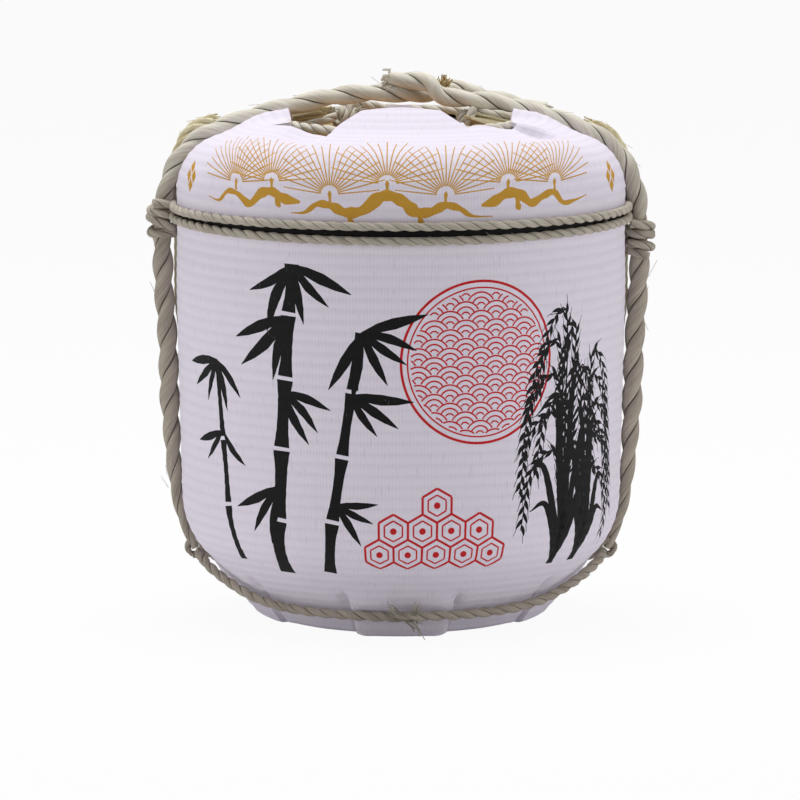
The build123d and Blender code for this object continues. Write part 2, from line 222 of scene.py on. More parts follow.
class Finish(Nodes):
    """A procedural material while it is being made."""

    def __init__(self, name):
        self.material = bpy.data.materials.new(name)
        self.material.use_nodes = True
        super().__init__(self.material.node_tree)
        self.shader = self.tree.nodes["Principled BSDF"]

    def surface(self, **inputs):
        """Set the shader's sockets, named with underscores for spaces."""
        for key, value in inputs.items():
            self.feed(self.shader.inputs[key.replace("_", " ")], value)
        return self.material

    def places(self, kind):
        """The three numbers of a texture coordinate: UV or Object."""
        vector = self.node("ShaderNodeTexCoord", {}, {}, kind)
        return [self.node("ShaderNodeSeparateXYZ", {}, {0: vector}, axis) for axis in range(3)]

    def noise(self, x, y, z=0.0, detail=2.0, roughness=0.5):
        """Noise at a place that is already scaled."""
        place = self.node("ShaderNodeCombineXYZ", {}, {0: x, 1: y, 2: z})
        inputs = {"Vector": place, "Scale": 1.0, "Detail": detail, "Roughness": roughness}
        return self.node("ShaderNodeTexNoise", {"noise_dimensions": "3D"}, inputs)

    def chance(self, number):
        """A random value for each whole number."""
        return self.node("ShaderNodeTexWhiteNoise", {"noise_dimensions": "1D"}, {"W": number})

    def mix(self, share, first, second):
        """Blend two colours."""
        first, second = [c if isinstance(c, Value) else (*c, 1.0) for c in (first, second)]
        return self.node("ShaderNodeMix", {"data_type": "RGBA"}, {0: share, 6: first, 7: second}, 2)

    def bump(self, height, distance, strength=1.0):
        return self.node("ShaderNodeBump", {}, {"Height": height, "Distance": distance, "Strength": strength})


def unit(vectors):
    return vectors / np.linalg.norm(vectors, axis=-1, keepdims=True)


def distances(line):
    """Distance along a line at each of its points."""
    steps = np.linalg.norm(np.diff(line, axis=0), axis=1)
    return np.concatenate([[0.0], np.cumsum(steps)])


def evenly(line, step):
    """The same line with its points about a step apart."""
    along = distances(line)
    places = np.linspace(0.0, along[-1], max(2, round(along[-1] / step) + 1))
    return np.stack([np.interp(places, along, line[:, axis]) for axis in range(line.shape[1])], axis=1)


def smooth_line(points, step):
    """Points read from the smooth spline that a route's points control."""
    curve = bpy.data.curves.new("route", "CURVE")
    curve.dimensions = "3D"
    spline = curve.splines.new("NURBS")
    spline.points.add(len(points) - 1)
    for control, point in zip(spline.points, points):
        control.co = (*point, 1.0)
    spline.order_u = 3
    spline.use_endpoint_u = True
    spline.resolution_u = 12
    carrier = bpy.data.objects.new("route", curve)
    mesh = bpy.data.meshes.new_from_object(carrier)
    line = np.array([vertex.co for vertex in mesh.vertices])
    bpy.data.objects.remove(carrier)
    bpy.data.curves.remove(curve)
    bpy.data.meshes.remove(mesh)
    return evenly(line, step)


def carried_frames(line):
    """Two directions across a line at each point, carried along it without twist."""
    along = unit(np.gradient(line, axis=0))
    helper = np.eye(3)[np.argmin(np.abs(along[0]))]
    across = [unit(np.cross(along[0], helper))]
    for index, step in enumerate(np.diff(line, axis=0)):
        square = step @ step
        side = across[-1] - 2 / square * (step @ across[-1]) * step
        way = along[index] - 2 / square * (step @ along[index]) * step
        turn = along[index + 1] - way
        size = turn @ turn
        across.append(side - 2 / size * (turn @ side) * turn if size > 1e-18 else side)
    across = unit(np.array(across))
    return along, across, np.cross(along, across)


class Skin:
    """Points, faces, texture places and finishes gathered for one piece."""

    def __init__(self):
        self.points = []
        self.faces = []
        self.places = []
        self.finishes = []

    def add(self, points, faces, places, finish=0):
        """Add faces and a texture place for each of their corners."""
        first = len(self.points)
        self.points.extend(map(tuple, points))
        self.faces.extend(tuple(first + corner for corner in face) for face in faces)
        self.places.extend(places)
        self.finishes.extend([finish] * len(faces))

    def tube(self, line, radii, turns=0.0, across=None, finish=0):
        """A closed tube: one row of radii for each point of the line, turned by an angle there."""
        rings, sides = radii.shape
        _, right, up = carried_frames(line)
        angles = np.arange(sides) * 2 * math.pi / sides + np.reshape(turns, (-1, 1))
        reach = right[:, None] * np.cos(angles)[..., None] + up[:, None] * np.sin(angles)[..., None]
        points = (line[:, None] + reach * radii[..., None]).reshape(-1, 3)
        far = distances(line)
        side = np.arange(sides + 1) / sides * 2 * math.pi * radii.mean() if across is None else across
        faces, places = [], []
        for ring in range(rings - 1):
            for number in range(sides):
                after = (number + 1) % sides
                low, high = ring * sides, (ring + 1) * sides
                faces.append((low + number, low + after, high + after, high + number))
                places += [(far[ring], side[number]), (far[ring], side[number + 1])]
                places += [(far[ring + 1], side[number + 1]), (far[ring + 1], side[number])]
        ends = np.array([line[0], line[-1]])
        for end, ring in ((0, 0), (1, rings - 1)):
            for number in range(sides):
                pair = [ring * sides + number, ring * sides + (number + 1) % sides]
                faces.append((rings * sides + end, *(pair if end else reversed(pair))))
                places += [(far[ring], side[number])] * 3
        self.add(np.concatenate([points, ends]), faces, places, finish)

    def piece(self, node, ending, materials, slot, smooth_angle=60):
        """Make the object that takes a solid's place, finished and riding on its body."""
        name = f"{node}_{ending}"
        mesh = bpy.data.meshes.new(name)
        mesh.from_pydata(self.points, [], self.faces)
        layer = mesh.uv_layers.new(name="places")
        layer.data.foreach_set("uv", np.array(self.places, np.float32).ravel())
        for material in materials:
            mesh.materials.append(material)
        mesh.polygons.foreach_set("material_index", np.array(self.finishes, np.int32))
        mesh.polygons.foreach_set("use_smooth", np.ones(len(self.faces), bool))
        mesh.set_sharp_from_angle(angle=math.radians(smooth_angle))
        mesh.validate()
        made = bpy.data.objects.new(name, mesh)
        bpy.context.scene.collection.objects.link(made)
        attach(made, BODY)
        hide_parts(node)
        return made


def straw_finish(name, pale, dark):
    """Dry straw: each straw its own tone, with fibres along it."""
    finish = Finish(name)
    along, number, _ = finish.places("UV")
    own = finish.chance(number.floor())
    fibres = finish.noise(along * 60, number * 9, own * 40, detail=3.0)
    share = (own * 0.6 + fibres * 0.7).step(0.3, 1.0)
    colour = finish.mix(share, dark, pale)
    normal = finish.bump(fibres, 0.0006, 0.7)
    return finish.surface(Base_Color=colour, Roughness=0.62 + 0.2 * fibres, Normal=normal)


def rope_finish(name):
    """Laid straw rope: long fine fibres along each strand, greyer in places, with painted shade in the creases
    between strands and painted light that makes it paler on top.
    """
    colour = colours()
    lit_top_from, lit_top_to = 0.30, 0.43
    finish = Finish(name)
    # Painted light: paler towards the top, where the light overhead falls.
    paler = finish.places("Object")[2].step(lit_top_from, lit_top_to)
    pale = finish.mix(paler, colour.rope, colour.rope_painted_lit_top)
    dark = finish.mix(paler, colour.rope_shade, colour.rope_painted_lit_top_shade)
    # Painted shade: the creases between the strands are coloured far darker.
    painted_crease_shade = [part * 0.34 for part in colour.rope_shade]
    along, across, _ = finish.places("UV")
    fibres = finish.noise(along * 34, across * 22, detail=3.0, roughness=0.6)
    broad = finish.noise(along * 22, across * 2.4)
    share = (fibres * 0.75 + broad * 0.5).step(0.34, 0.86)
    crease = across.wave().step(0.0, 0.2)
    laid = finish.mix(crease, painted_crease_shade, finish.mix(share, dark, pale))
    normal = finish.bump(fibres * 0.8 + broad * 0.4, 0.0007, 0.8)
    return finish.surface(Base_Color=laid, Roughness=0.7 + 0.15 * fibres, Normal=normal)


def wood_finish(name, pale, dark, grain):
    """Wood whose grain runs along an axis: X, Y or Z."""
    along_scale, across_scale, fine_scale = 4.0, 60.0, 5.0
    finish = Finish(name)
    place = finish.places("Object")
    stretched = [value * (along_scale if axis == grain else across_scale) for axis, value in zip("XYZ", place)]
    broad = finish.noise(*stretched, detail=3.0)
    fine = finish.noise(*[value * fine_scale for value in stretched], detail=4.0, roughness=0.65)
    rings = (broad * 7.0).wave() * 0.55 + fine * 0.45
    colour = finish.mix(rings.step(0.2, 0.95), dark, pale)
    normal = finish.bump(rings, 0.0005, 0.5)
    return finish.surface(Base_Color=colour, Roughness=0.5 + 0.25 * fine, Normal=normal)


def laid_rope(skin, line, radius, lay, strands=2, seed=0):
    """A right-hand laid rope: a section of round lobes that turns once in each lay, a little lumpy."""
    steps, lump, lump_pitch = 20, 0.05, 0.015
    crease_depth, crease_width = 0.13, 0.12
    rng = np.random.default_rng(seed)
    centre = {2: 0.25, 5: 0.62}[strands]
    lobe = 1 - centre
    angle = (np.arange(steps) / steps - 0.5) * 2 * math.pi / strands
    reach = centre * np.cos(angle) + np.sqrt(lobe**2 - (centre * np.sin(angle)) ** 2)
    reach = reach * (1 - crease_depth * hump(np.abs(angle), math.pi / strands, crease_width))
    far = distances(line)
    knots = np.arange(0.0, far[-1] + 2 * lump_pitch, lump_pitch)
    lumps = [1 + lump * np.interp(far, knots, rng.uniform(-1, 1, len(knots))) for _ in range(strands)]
    shape = np.concatenate([swell[:, None] * reach for swell in lumps], axis=1)
    radii = np.reshape(radius, (-1, 1)) * shape
    lays = np.broadcast_to(lay, far.shape)
    turns = 2 * math.pi * np.concatenate([[0.0], np.cumsum(np.diff(far) / lays[1:])])
    across = np.arange(strands * steps + 1) / steps
    skin.tube(line, radii, turns, across)


def loose_straw(skin, line, radius, number, finish=0):
    """One straw of five sides, tapered a little towards its tip."""
    taper = np.linspace(1.0, 0.7, len(line))
    across = number + np.linspace(0.1, 0.9, 6)
    skin.tube(line, np.repeat(radius * taper[:, None], 5, axis=1), 0.0, across, finish)


def frayed_end(skin, end, way, radius, length, count, seed, finish=0):
    """Cut straws that spread from the end of a rope."""
    rng = np.random.default_rng(seed)
    way = unit(np.array(way, float))
    for number in range(count):
        offset = rng.normal(0, 0.45, 3) * radius
        offset -= way * (offset @ way)
        spread = rng.normal(0, 0.22, 3) + way
        reach = length * rng.uniform(0.5, 1.0)
        share = np.linspace(-0.4, 1.0, 5)[:, None]
        line = np.array(end) + offset + spread * share * reach + rng.normal(0, 0.15, 3) * share**2 * reach
        loose_straw(skin, line, radius * rng.uniform(0.09, 0.16), number, finish)


def stray_fibres(skin, line, radius, count, seed):
    """Short fibres that stand a little off a rope."""
    fibre_radius = 0.00022
    rng = np.random.default_rng(seed)
    along, right, up = carried_frames(line)
    for number in range(count):
        index = rng.integers(1, len(line) - 1)
        turn = rng.uniform(0, 2 * math.pi)
        out = right[index] * math.cos(turn) + up[index] * math.sin(turn)
        lean = along[index] * rng.choice([-1, 1]) + out * rng.uniform(0.1, 0.4) + rng.normal(0, 0.25, 3)
        share = np.linspace(0.0, 1.0, 4)[:, None]
        path = line[index] + out * radius * 0.9 + lean * share * rng.uniform(0.5, 1.1) * radius
        loose_straw(skin, path, fibre_radius, number)


# The thick ropes' routes: up one side, over the shoulder and across the mouth
rope_side_route = [
    (0.1700, 0.0, 0.0560), (0.1745, 0.0, 0.0660), (0.1835, 0.0, 0.0900), (0.1885, 0.0, 0.1360),
    (0.1908, 0.0, 0.1800), (0.1925, 0.0, 0.2373), (0.1960, 0.0, 0.2782), (0.1965, 0.0, 0.3160),
    (0.1948, 0.0, 0.3460), (0.1900, 0.001, 0.3640), (0.1822, 0.002, 0.3790), (0.1730, 0.002, 0.3905),
    (0.1600, 0.001, 0.4000), (0.1310, -0.001, 0.4120), (0.0980, -0.003, 0.4215),
]
left_rope_top = [
    (-0.062, -0.005, 0.4305), (-0.038, -0.006, 0.4332), (-0.016, -0.006, 0.4345), (0.004, -0.003, 0.4322),
    (0.021, 0.005, 0.4325), (0.040, 0.016, 0.4375), (0.058, 0.018, 0.4310), (0.085, 0.019, 0.4240),
    (0.118, 0.0195, 0.4160),
]
right_rope_top = [
    (0.066, -0.008, 0.4282), (0.044, -0.013, 0.4300), (0.031, -0.017, 0.4330), (0.025, -0.014, 0.4425),
    (0.012, -0.008, 0.4446), (-0.002, -0.005, 0.4446), (-0.009, -0.003, 0.4440),
]
# Where the straw core shows at the left rope's crossing, and the way it points
rope_core_place, rope_core_way = (0.0345, -0.006, 0.4415), (0.2, -0.6, 0.75)
# A thick rope's share of its radius by height on its way up, and the height of each hitch's nip
rope_thinning = [(0.0560, 0.46), (0.0920, 0.62), (0.1800, 1.0)]
hitch_levels = {-1: 0.329, 1: 0.315}


def thick_rope(name, hand, over_top, finishes):
    """One side rope, thinned towards its tied lower end, nipped by its hitch and cut at the top."""
    size = sizes()
    rising_run, nip, nip_height, top_thinning, top_slack = 0.15, 0.18, 0.016, 0.08, 0.18
    route = [(hand * x, y, z) for x, y, z in rope_side_route] + over_top
    line = smooth_line(route, ROPE_STEP)
    height = line[:, 2]
    levels, shares = zip(*rope_thinning)
    rising = distances(line) < rising_run
    radius = size.rope_radius * np.where(rising, np.interp(height, levels, shares), 1.0)
    on_wall = np.abs(line[:, 0]) > wall_radius
    radius = radius * (1 - nip * hump(height, hitch_levels[hand], nip_height) * on_wall)
    on_top = ease(height, 0.36, 0.42)
    radius = radius * (1 - top_thinning * on_top)
    skin = Skin()
    laid_rope(skin, line, radius, size.rope_lay * (1 + top_slack * on_top), seed=3 + hand)
    stray_fibres(skin, line, size.rope_radius, count=46, seed=11 + hand)
    end_way = line[-1] - line[-3]
    frayed_end(skin, line[-1], end_way, size.rope_radius, length=0.006, count=40, seed=21 + hand)
    if hand < 0:
        core_radius = 0.006
        frayed_end(skin, rope_core_place, rope_core_way, core_radius, length=0.006, count=60, seed=19, finish=1)
    skin.piece(name, "laid", finishes, "thick_rope")


def thin_cord(name, line, finishes, seed, fray=0.0, radius=None, knot=(), loops=()):
    """A thin laid cord along a line, its ends thinned and frayed where they are free."""
    size = sizes()
    thin_run, thin_share, fray_share, loop_share = 0.022, 0.62, 0.7, 0.9
    fibres_a_metre, end_straws = 60, 12
    radius = radius or size.cord_radius
    skin = Skin()
    far = distances(line)
    ends = np.minimum(far, far[-1] - far)
    girth = radius * (np.interp(ends, [0, thin_run], [thin_share, 1.0]) if fray else np.ones(len(line)))
    laid_rope(skin, line, girth, size.cord_lay * radius / size.cord_radius, seed=seed)
    stray_fibres(skin, line, radius, int(fibres_a_metre * far[-1]), seed + 1)
    if fray:
        for end, inner in ((0, 2), (-1, -3)):
            way = line[end] - line[inner]
            frayed_end(skin, line[end], way, radius * fray_share, fray, end_straws, seed + 2 - end)
    for turns in loops:
        laid_rope(skin, turns, radius * loop_share, size.cord_lay, seed=seed + 9)
    for number, (place, way, reach) in enumerate(knot):
        frayed_end(skin, foot_point(*place), way, radius, reach, end_straws, seed + 5 + number)
    skin.piece(name, "laid", finishes, "thin_cord")


def shoulder_cord_line(middle, level, part):
    """Half a turn round the shoulder, from hitch to hitch, drawn apart a little in the middle."""
    radius, stop, tuck = 0.1890, 1.6, 0.0024
    points = []
    for turn in np.linspace(-90 + stop, 90 - stop, 40):
        angle = math.radians(middle + turn)
        reach = radius - tuck * ease(abs(turn), 81, 87)
        height = level + part * math.cos(math.radians(turn)) ** 2
        points.append((reach * math.cos(angle), reach * math.sin(angle), height))
    return smooth_line(points, CORD_STEP)


def winding_line(origin, axis, outward, radius, pitch, turns, tilts=(0.0,), tail=0.008):
    """A cord wound round a core, each turn tilted by its own amount, its two ends leaving straight."""
    steps, tilt_reach = 16, 0.35
    axis, outward = np.array(axis, float), np.array(outward, float)
    side = np.cross(axis, outward)
    coil = []
    for step in range(round(steps * turns) + 1):
        angle = math.pi / 2 + step * 2 * math.pi / steps
        tilt = tilts[min(step // steps, len(tilts) - 1)]
        reach = radius + abs(tilt) * tilt_reach * (tilt < 0)
        slant = tilt * math.sin(angle - math.pi / 2)
        around = outward * math.cos(angle) - side * math.sin(angle)
        coil.append(origin + around * reach + axis * (pitch * angle / (2 * math.pi) + slant))
    first = coil[0] - unit(coil[1] - coil[0]) * tail
    last = coil[-1] + unit(coil[-1] - coil[-2]) * tail
    return smooth_line([first, *coil, last], CORD_STEP)


# The doubled shoulder cord: name, height, and how far each is drawn apart in the middle
shoulder_cord_levels = [("upper", 0.34175, 0.0017), ("lower", 0.33325, -0.0017)]
# The hitches: side, hand, height of the first turn, turns, and each turn's tilt
hitches = [("left", -1, 0.3125, 3.5, (0.002, -0.003, 0.0)), ("right", 1, 0.2995, 3.0, (0.001, -0.0015, 0.0))]


def hitch_line(hand, height, turns, tilts):
    """Turns of cord round a thick rope at the shoulder."""
    reach, radius, pitch = 0.1962, 0.0096, 0.0080
    return winding_line((hand * reach, 0, height), (0, 0, 1), (hand, 0, 0), radius, pitch, turns, tilts)


def tie_line(hand):
    """Turns of cord that tie a thick rope's lower end to the foot cord."""
    x, y, z = 0.1702, -0.0050, 0.0565
    radius, pitch, turns = 0.0062, 0.0050, 1.75
    return winding_line((hand * x, y, z), (0, 1, 0), (hand, 0, 0), radius, pitch, turns, tail=0.002)


# The foot cord's route: azimuth from the front towards the right in degrees, height, distance off the mat
foot_rise = [
    (20, 0.020, 0.0062), (36, 0.0205, 0.0062), (51, 0.024, 0.0062), (64, 0.032, 0.0060),
    (75, 0.043, 0.0064),
]
foot_start = [(4, 0.0165, 0.0050), (-3, 0.0188, 0.0056), (-12, 0.0196, 0.0060)]
foot_end = [(12, 0.0203, 0.0080), (4, 0.0205, 0.0115), (-3, 0.0222, 0.0120)]
# The foot knot's straw ends: place as above, then their direction and length
foot_knot = [
    ((-2, 0.0245, 0.0120), (-0.7, -0.3, 0.8), 0.008), ((4, 0.0245, 0.0115), (0.4, -0.3, 0.85), 0.009),
    ((3, 0.0170, 0.0110), (0.6, -0.4, -0.8), 0.014),
]
# The foot cord's place in the middle of the back
foot_back = (180, 0.020, 0.0062)
# The sloping foot: its radius at the floor and its rise for each unit outward
foot_base_radius = 0.115
foot_run = 1.1846
# Where the foot cord meets the ties
tie_place = (0.1665, 0.0165, 0.052)


def foot_point(azimuth, height, standoff):
    """A point on the sloping foot, lifted off the mat."""
    slope = math.sin(math.atan(foot_run))
    radius = foot_base_radius + height / foot_run + standoff / slope
    turn = math.radians(azimuth)
    return (radius * math.sin(turn), -radius * math.cos(turn), height)


def foot_cord_line():
    """The cord round the foot, low at front and back and drawn up at the sides."""
    quarter = [foot_point(*place) for place in foot_rise]
    x, y, z = tie_place
    points = [foot_point(*place) for place in foot_start]
    points += [(-a, b, c) for a, b, c in quarter] + [(-x, -y, z), (-x, y, z)]
    points += [(-a, -b, c) for a, b, c in reversed(quarter)] + [foot_point(*foot_back)]
    points += [(a, -b, c) for a, b, c in quarter] + [(x, y, z), (x, -y, z)]
    points += list(reversed(quarter)) + [foot_point(*place) for place in foot_end]
    return smooth_line(points, CORD_STEP)


def mouth_cord_line():
    """The cord round the straw in the mouth, its end lifted over its start at the back left."""
    start, radius, rest, lift = 218, 0.100, 0.4105, 0.0088
    places = [(start - 14, -0.008, 0.0), (start + 3, -0.001, 0.0)]
    places += [(start + 24 * step, 0.0, 0.0) for step in range(1, 14)]
    places += [(start + 327, 0.0, 0.0), (start + 340, 0.002, lift / 2), (start + 352, 0.001, lift)]
    places += [(start + 364, -0.002, lift + 0.001), (start + 374, -0.006, lift)]
    points = []
    for azimuth, out, up in places:
        turn = math.radians(azimuth - 90)
        points.append(((radius + out) * math.cos(turn), (radius + out) * math.sin(turn), rest + up))
    return smooth_line(points, CORD_STEP)


# The short ends that the mouth cord leaves across the straw, and the knot that holds each
mouth_ends = [
    [(-0.112, -0.006, 0.4050), (-0.094, -0.004, 0.4058), (-0.078, -0.002, 0.4068), (-0.064, 0.004, 0.4095),
     (-0.054, 0.011, 0.4130)],
    [(0.046, -0.010, 0.4140), (0.056, -0.012, 0.4180), (0.068, -0.014, 0.4185), (0.082, -0.015, 0.4172),
     (0.096, -0.016, 0.4150)],
]
mouth_knot_places = [
    ((-0.0540, 0.012, 0.4120), (0.894, 0.447, 0.0)), ((0.0475, -0.010, 0.4115), (0.894, -0.447, 0.0)),
]


def mouth_knots():
    """The mouth cord's short ends and the turns that tie them."""
    upright, radius, pitch, turns = (0, 0, 1), 0.0060, 0.0066, 1.6
    ends = [smooth_line(points, CORD_STEP) for points in mouth_ends]
    for place, axis in mouth_knot_places:
        ends.append(winding_line(place, axis, upright, radius, pitch, turns))
    return ends


# The wrap's section, radius and height, with the round at each inner corner
wrap_corners = [(0.015, 0.0), (0.115, 0.0), (0.180, 0.077), (0.185, 0.270), (0.185, 0.389), (0.060, 0.4345)]
wrap_rounds = [0.012, 0.070, 0.925, 0.046]
wall_radius = 0.185
# The mouth's flaps: half width and distance from the axis of the tip, then of the root
front_flap = (0.031, 0.087, 0.058, 0.106)
back_flap = (0.0351, 0.0985, 0.058, 0.106)
side_flap = (0.047, 0.0925, 0.058, 0.106)
# How far from the axis the mouth's corners are tucked back, and the tight one at the front right
corner_reach, tight_corner_reach = 0.116, 0.1035
# The turn that each foot flap takes up, in degrees
foot_flap_turn = 36.0
# How far the front flap's edge rises, the other flaps' edges drop, and the wide corners tuck in
front_flap_rise, flap_drop, panel_tuck = 0.0058, 0.0080, 0.0056
# The tight corner's tuck, at its front end and added towards its side end
tight_tuck, tight_tuck_more = 0.0034, 0.0056
# How far the mat stands out at the shoulder's bend
bend_fullness = 0.0048
# How far a thick rope sinks into the shoulder, and the mat's rise beside it at the mouth
rope_groove, rope_bank = 0.0062, 0.0075
# How far each foot flap stands out, from the front one round to the back one
foot_layers = [0.0042, 0.0004, 0.0024, -0.0008, 0.0010, 0.0030]
# The foot cord's height by the turn from the front or back in degrees
foot_cord_turns, foot_cord_heights = [36, 51, 64, 75, 90], [0.020, 0.024, 0.032, 0.043, 0.054]
# Between two foot flaps: the dent over the cord, and the slit's depth under it, wide ones and the rest
foot_dent, wide_slit, slit = 0.0040, 0.005, 0.0015
# Half the gap between the two mats at the sides
seam_gap = 0.0003


def rounded_line(corners, rounds):
    """An outline with each inner corner rounded by an arc, as closely set points."""
    corners = [np.array(corner) for corner in corners]
    line = [corners[0]]
    for before, corner, after, radius in zip(corners, corners[1:], corners[2:], rounds):
        arrive, leave = unit(corner - before), unit(after - corner)
        turn = math.acos(np.clip(arrive @ leave, -1, 1))
        reach = radius * math.tan(turn / 2)
        start = corner - arrive * reach
        for share in np.linspace(0, 1, 25):
            angle = turn * share
            aside = unit(leave - arrive * (arrive @ leave))
            line.append(start + arrive * radius * math.sin(angle) + aside * radius * (1 - math.cos(angle)))
    line.append(corners[-1])
    return evenly(np.array(line), 0.0005)


def ease(value, low, high):
    """A smooth rise from 0 at low to 1 at high."""
    share = np.clip((value - low) / (high - low), 0, 1)
    return share * share * (3 - 2 * share)


def hump(value, middle, spread):
    """A bell of height 1 over a middle."""
    return np.exp(-(((value - middle) / spread) ** 2))


def flap_radius(turn, half, reach, root_half, root_reach):
    """Radius at which a line from the axis meets a flap, by its turn from the flap's middle."""
    turn = np.radians(turn)
    run, rise = root_half - half, root_reach - reach
    slant = np.minimum(np.sin(turn) * rise - np.cos(turn) * run, -1e-9)
    return np.where(np.tan(turn) < half / reach, reach / np.cos(turn), (half * rise - reach * run) / slant)


def turn_from_front(azimuth):
    """Turn from the front, 0 to 180 degrees."""
    return np.abs((np.asarray(azimuth) + 180) % 360 - 180)


def from_front(azimuth):
    """Turn from the front or the back, whichever is nearer, 0 to 90 degrees."""
    around = turn_from_front(azimuth)
    return np.where(around > 90, 180 - around, around)


def on_tight_corner(azimuth):
    """Whether a place is in the front right quarter, whose corner is pulled tight."""
    return np.asarray(azimuth) % 360 < 90


def mouth_radius(azimuth):
    """Radius of the mouth's edge: four wide flaps and, between them, four tucked corners."""
    sides = from_front(azimuth)
    corner = np.where(on_tight_corner(azimuth), tight_corner_reach, corner_reach)
    corner = corner / np.cos(np.radians(45 - sides))
    ahead = np.cos(np.radians(azimuth)) > 0
    facing = np.where(ahead, flap_radius(sides, *front_flap), flap_radius(sides, *back_flap))
    return np.minimum.reduce([corner, facing, flap_radius(90 - sides, *side_flap)])


class Wrap:
    """The wrap's outer face with its rows, folds and tucks. Places on it are an azimuth in degrees from the
    front towards the right, and a distance along the section from the fold tips under the base."""

    def __init__(self):
        self.line = rounded_line(wrap_corners, wrap_rounds)
        self.far = distances(self.line)
        way = unit(np.gradient(self.line, axis=0))
        self.out = np.stack([way[:, 1], -way[:, 0]], axis=1)
        wall = np.argmin(np.abs(self.line[:, 1] - 0.2))
        self.floor = self.far[wall] - self.line[wall, 1]

    def at_height(self, height):
        """Distance along the section for a height on the wall, carried on over the shoulder."""
        return self.floor + height

    def mouth(self, azimuth):
        """Distance along the section to the mouth's edge."""
        top = self.far > self.at_height(0.35)
        return np.interp(-mouth_radius(azimuth), -self.line[top, 0], self.far[top])

    def upright(self, shape):
        """A shape of the print, widened over the shoulder so that its upright lines stay upright."""
        radius = np.interp(self.floor + shape[:, 1] * MM, self.far, self.line[:, 0])
        widen = np.where(shape[:, 1] * MM > 0.3, wall_radius / radius, 1.0)
        return np.stack([shape[:, 0] * widen, shape[:, 1]], axis=1)

    def rows(self, along):
        """The groove along each binding row."""
        size = sizes()
        return -size.row_depth * (1 + np.cos(2 * math.pi * along / size.row_pitch)) / 2

    def foot(self, azimuth, radius, height):
        """How far the foot's flaps stand out: flat, in layers, pulled in by the cord, slit from each other."""
        sides = from_front(azimuth)
        cord = np.interp(sides, foot_cord_turns, foot_cord_heights)
        half = foot_flap_turn / 2
        local = (azimuth + half) % foot_flap_turn - half
        flap = np.round((azimuth - local) / foot_flap_turn).astype(int)
        layer = np.choose(np.abs((flap + 5) % 10 - 5), foot_layers)
        facet = radius * (math.cos(math.radians(half)) / np.cos(np.radians(local)) - 0.967) * 0.25
        share = 1 - ease(height, 0.020, cord + 0.024)
        pull = hump(height, cord, 0.010)
        stand = (facet + layer) * share * (1 - 0.6 * pull) - 0.0012 * pull * (height < 0.1)
        edge = np.abs(local) - half
        dent = hump(edge, 0, 2.2) * hump(height, cord + 0.010, 0.008) * foot_dent
        cut = hump(edge, 0, 0.7) * (1 - ease(height, cord - 0.004, cord + 0.004))
        wide = np.abs(sides - 1.5 * foot_flap_turn) < 4
        return stand - dent - cut * np.where(wide, wide_slit, slit)

    def crown(self, azimuth, radius, height):
        """How far the mat stands out over the shoulder: raised or sunk flaps, tucked corners between them, a
        full bend, and a groove under each thick rope."""
        sides = from_front(azimuth)
        corner = ease(np.abs((azimuth + 45) % 90 - 45), 27.0, 30.0)
        facing = (sides <= 45) & (turn_from_front(azimuth) < 90)
        edge = 1 - ease(radius, 0.086, 0.128)
        raised = np.where(facing, front_flap_rise, -flap_drop) * edge * (1 - corner)
        tuck = np.where(on_tight_corner(azimuth), tight_tuck + tight_tuck_more * ease(sides, 34, 58),
                        panel_tuck * (1 - ease(sides, 38, 52)))
        top = 1 - ease(radius, 0.124, 0.160)
        under = np.clip((height - 0.358) / 0.0367, 0, 1)
        over = np.clip((radius - 0.120) / 0.045, 0, 1)
        bend = bend_fullness * np.minimum(under, over) * (1 - ease(sides, 48, 74))
        aside = radius * np.abs(np.cos(np.radians(azimuth)))
        sunk = ease(height, 0.352, 0.375) * ease(radius, 0.105, 0.125)
        groove = rope_groove * hump(aside, 0.0, 0.009) * sunk
        bank = rope_bank * hump(aside, 0.016, 0.008) * (1 - ease(radius, 0.098, 0.150))
        return (height > 0.34) * (raised - tuck * corner * top + bend - groove + bank)

    def seam(self, azimuth, height):
        """How far the mats' side edges stand out: the back one proud, the front one pressed in by the hitch."""
        around = turn_from_front(azimuth)
        proud = 0.002 * (around >= 90) * ease(height, 0.235, 0.265) * (1 - ease(height, 0.335, 0.365))
        pressed = 0.0018 * hump(height, 0.325, 0.022) * (around < 90)
        return hump(around, 90, 3.5) * (proud - pressed)

    def lift(self, azimuth, radius, height):
        """How far the foot's edge rises off the floor between the front and back flaps."""
        sides = from_front(azimuth)
        half = foot_flap_turn / 2
        rise = 0.0038 * ease(sides, 21, 54) + 0.0022 * hump(sides, 22.0, 12.0) * (sides > half)
        rise = rise + 0.002 * ease(sides, 13.5, 17.9) * (sides < half)
        return rise * ease(radius, 0.060, 0.112) * (1 - ease(height, 0.0, 0.05))

    def place(self, azimuth, along, depth=0.0):
        """Points of the outer face, or of a layer some depth under it."""
        radius = np.interp(along, self.far, self.line[:, 0])
        height = np.interp(along, self.far, self.line[:, 1])
        out_r = np.interp(along, self.far, self.out[:, 0])
        out_z = np.interp(along, self.far, self.out[:, 1])
        folds = self.foot(azimuth, radius, height) + self.crown(azimuth, radius, height)
        stand = self.rows(along) + (folds + self.seam(azimuth, height)) - depth
        radius = radius + out_r * stand
        height = np.maximum(height + out_z * stand, depth) + self.lift(azimuth, radius, height)
        turn = np.radians(azimuth)
        return np.stack([radius * np.sin(turn), -radius * np.cos(turn), height], axis=-1)


# The mat's finishes by number, and the most binding rows that a mat has
PLAIN, GOLD, RED, BLACK, RAW = range(5)
most_rows = 80


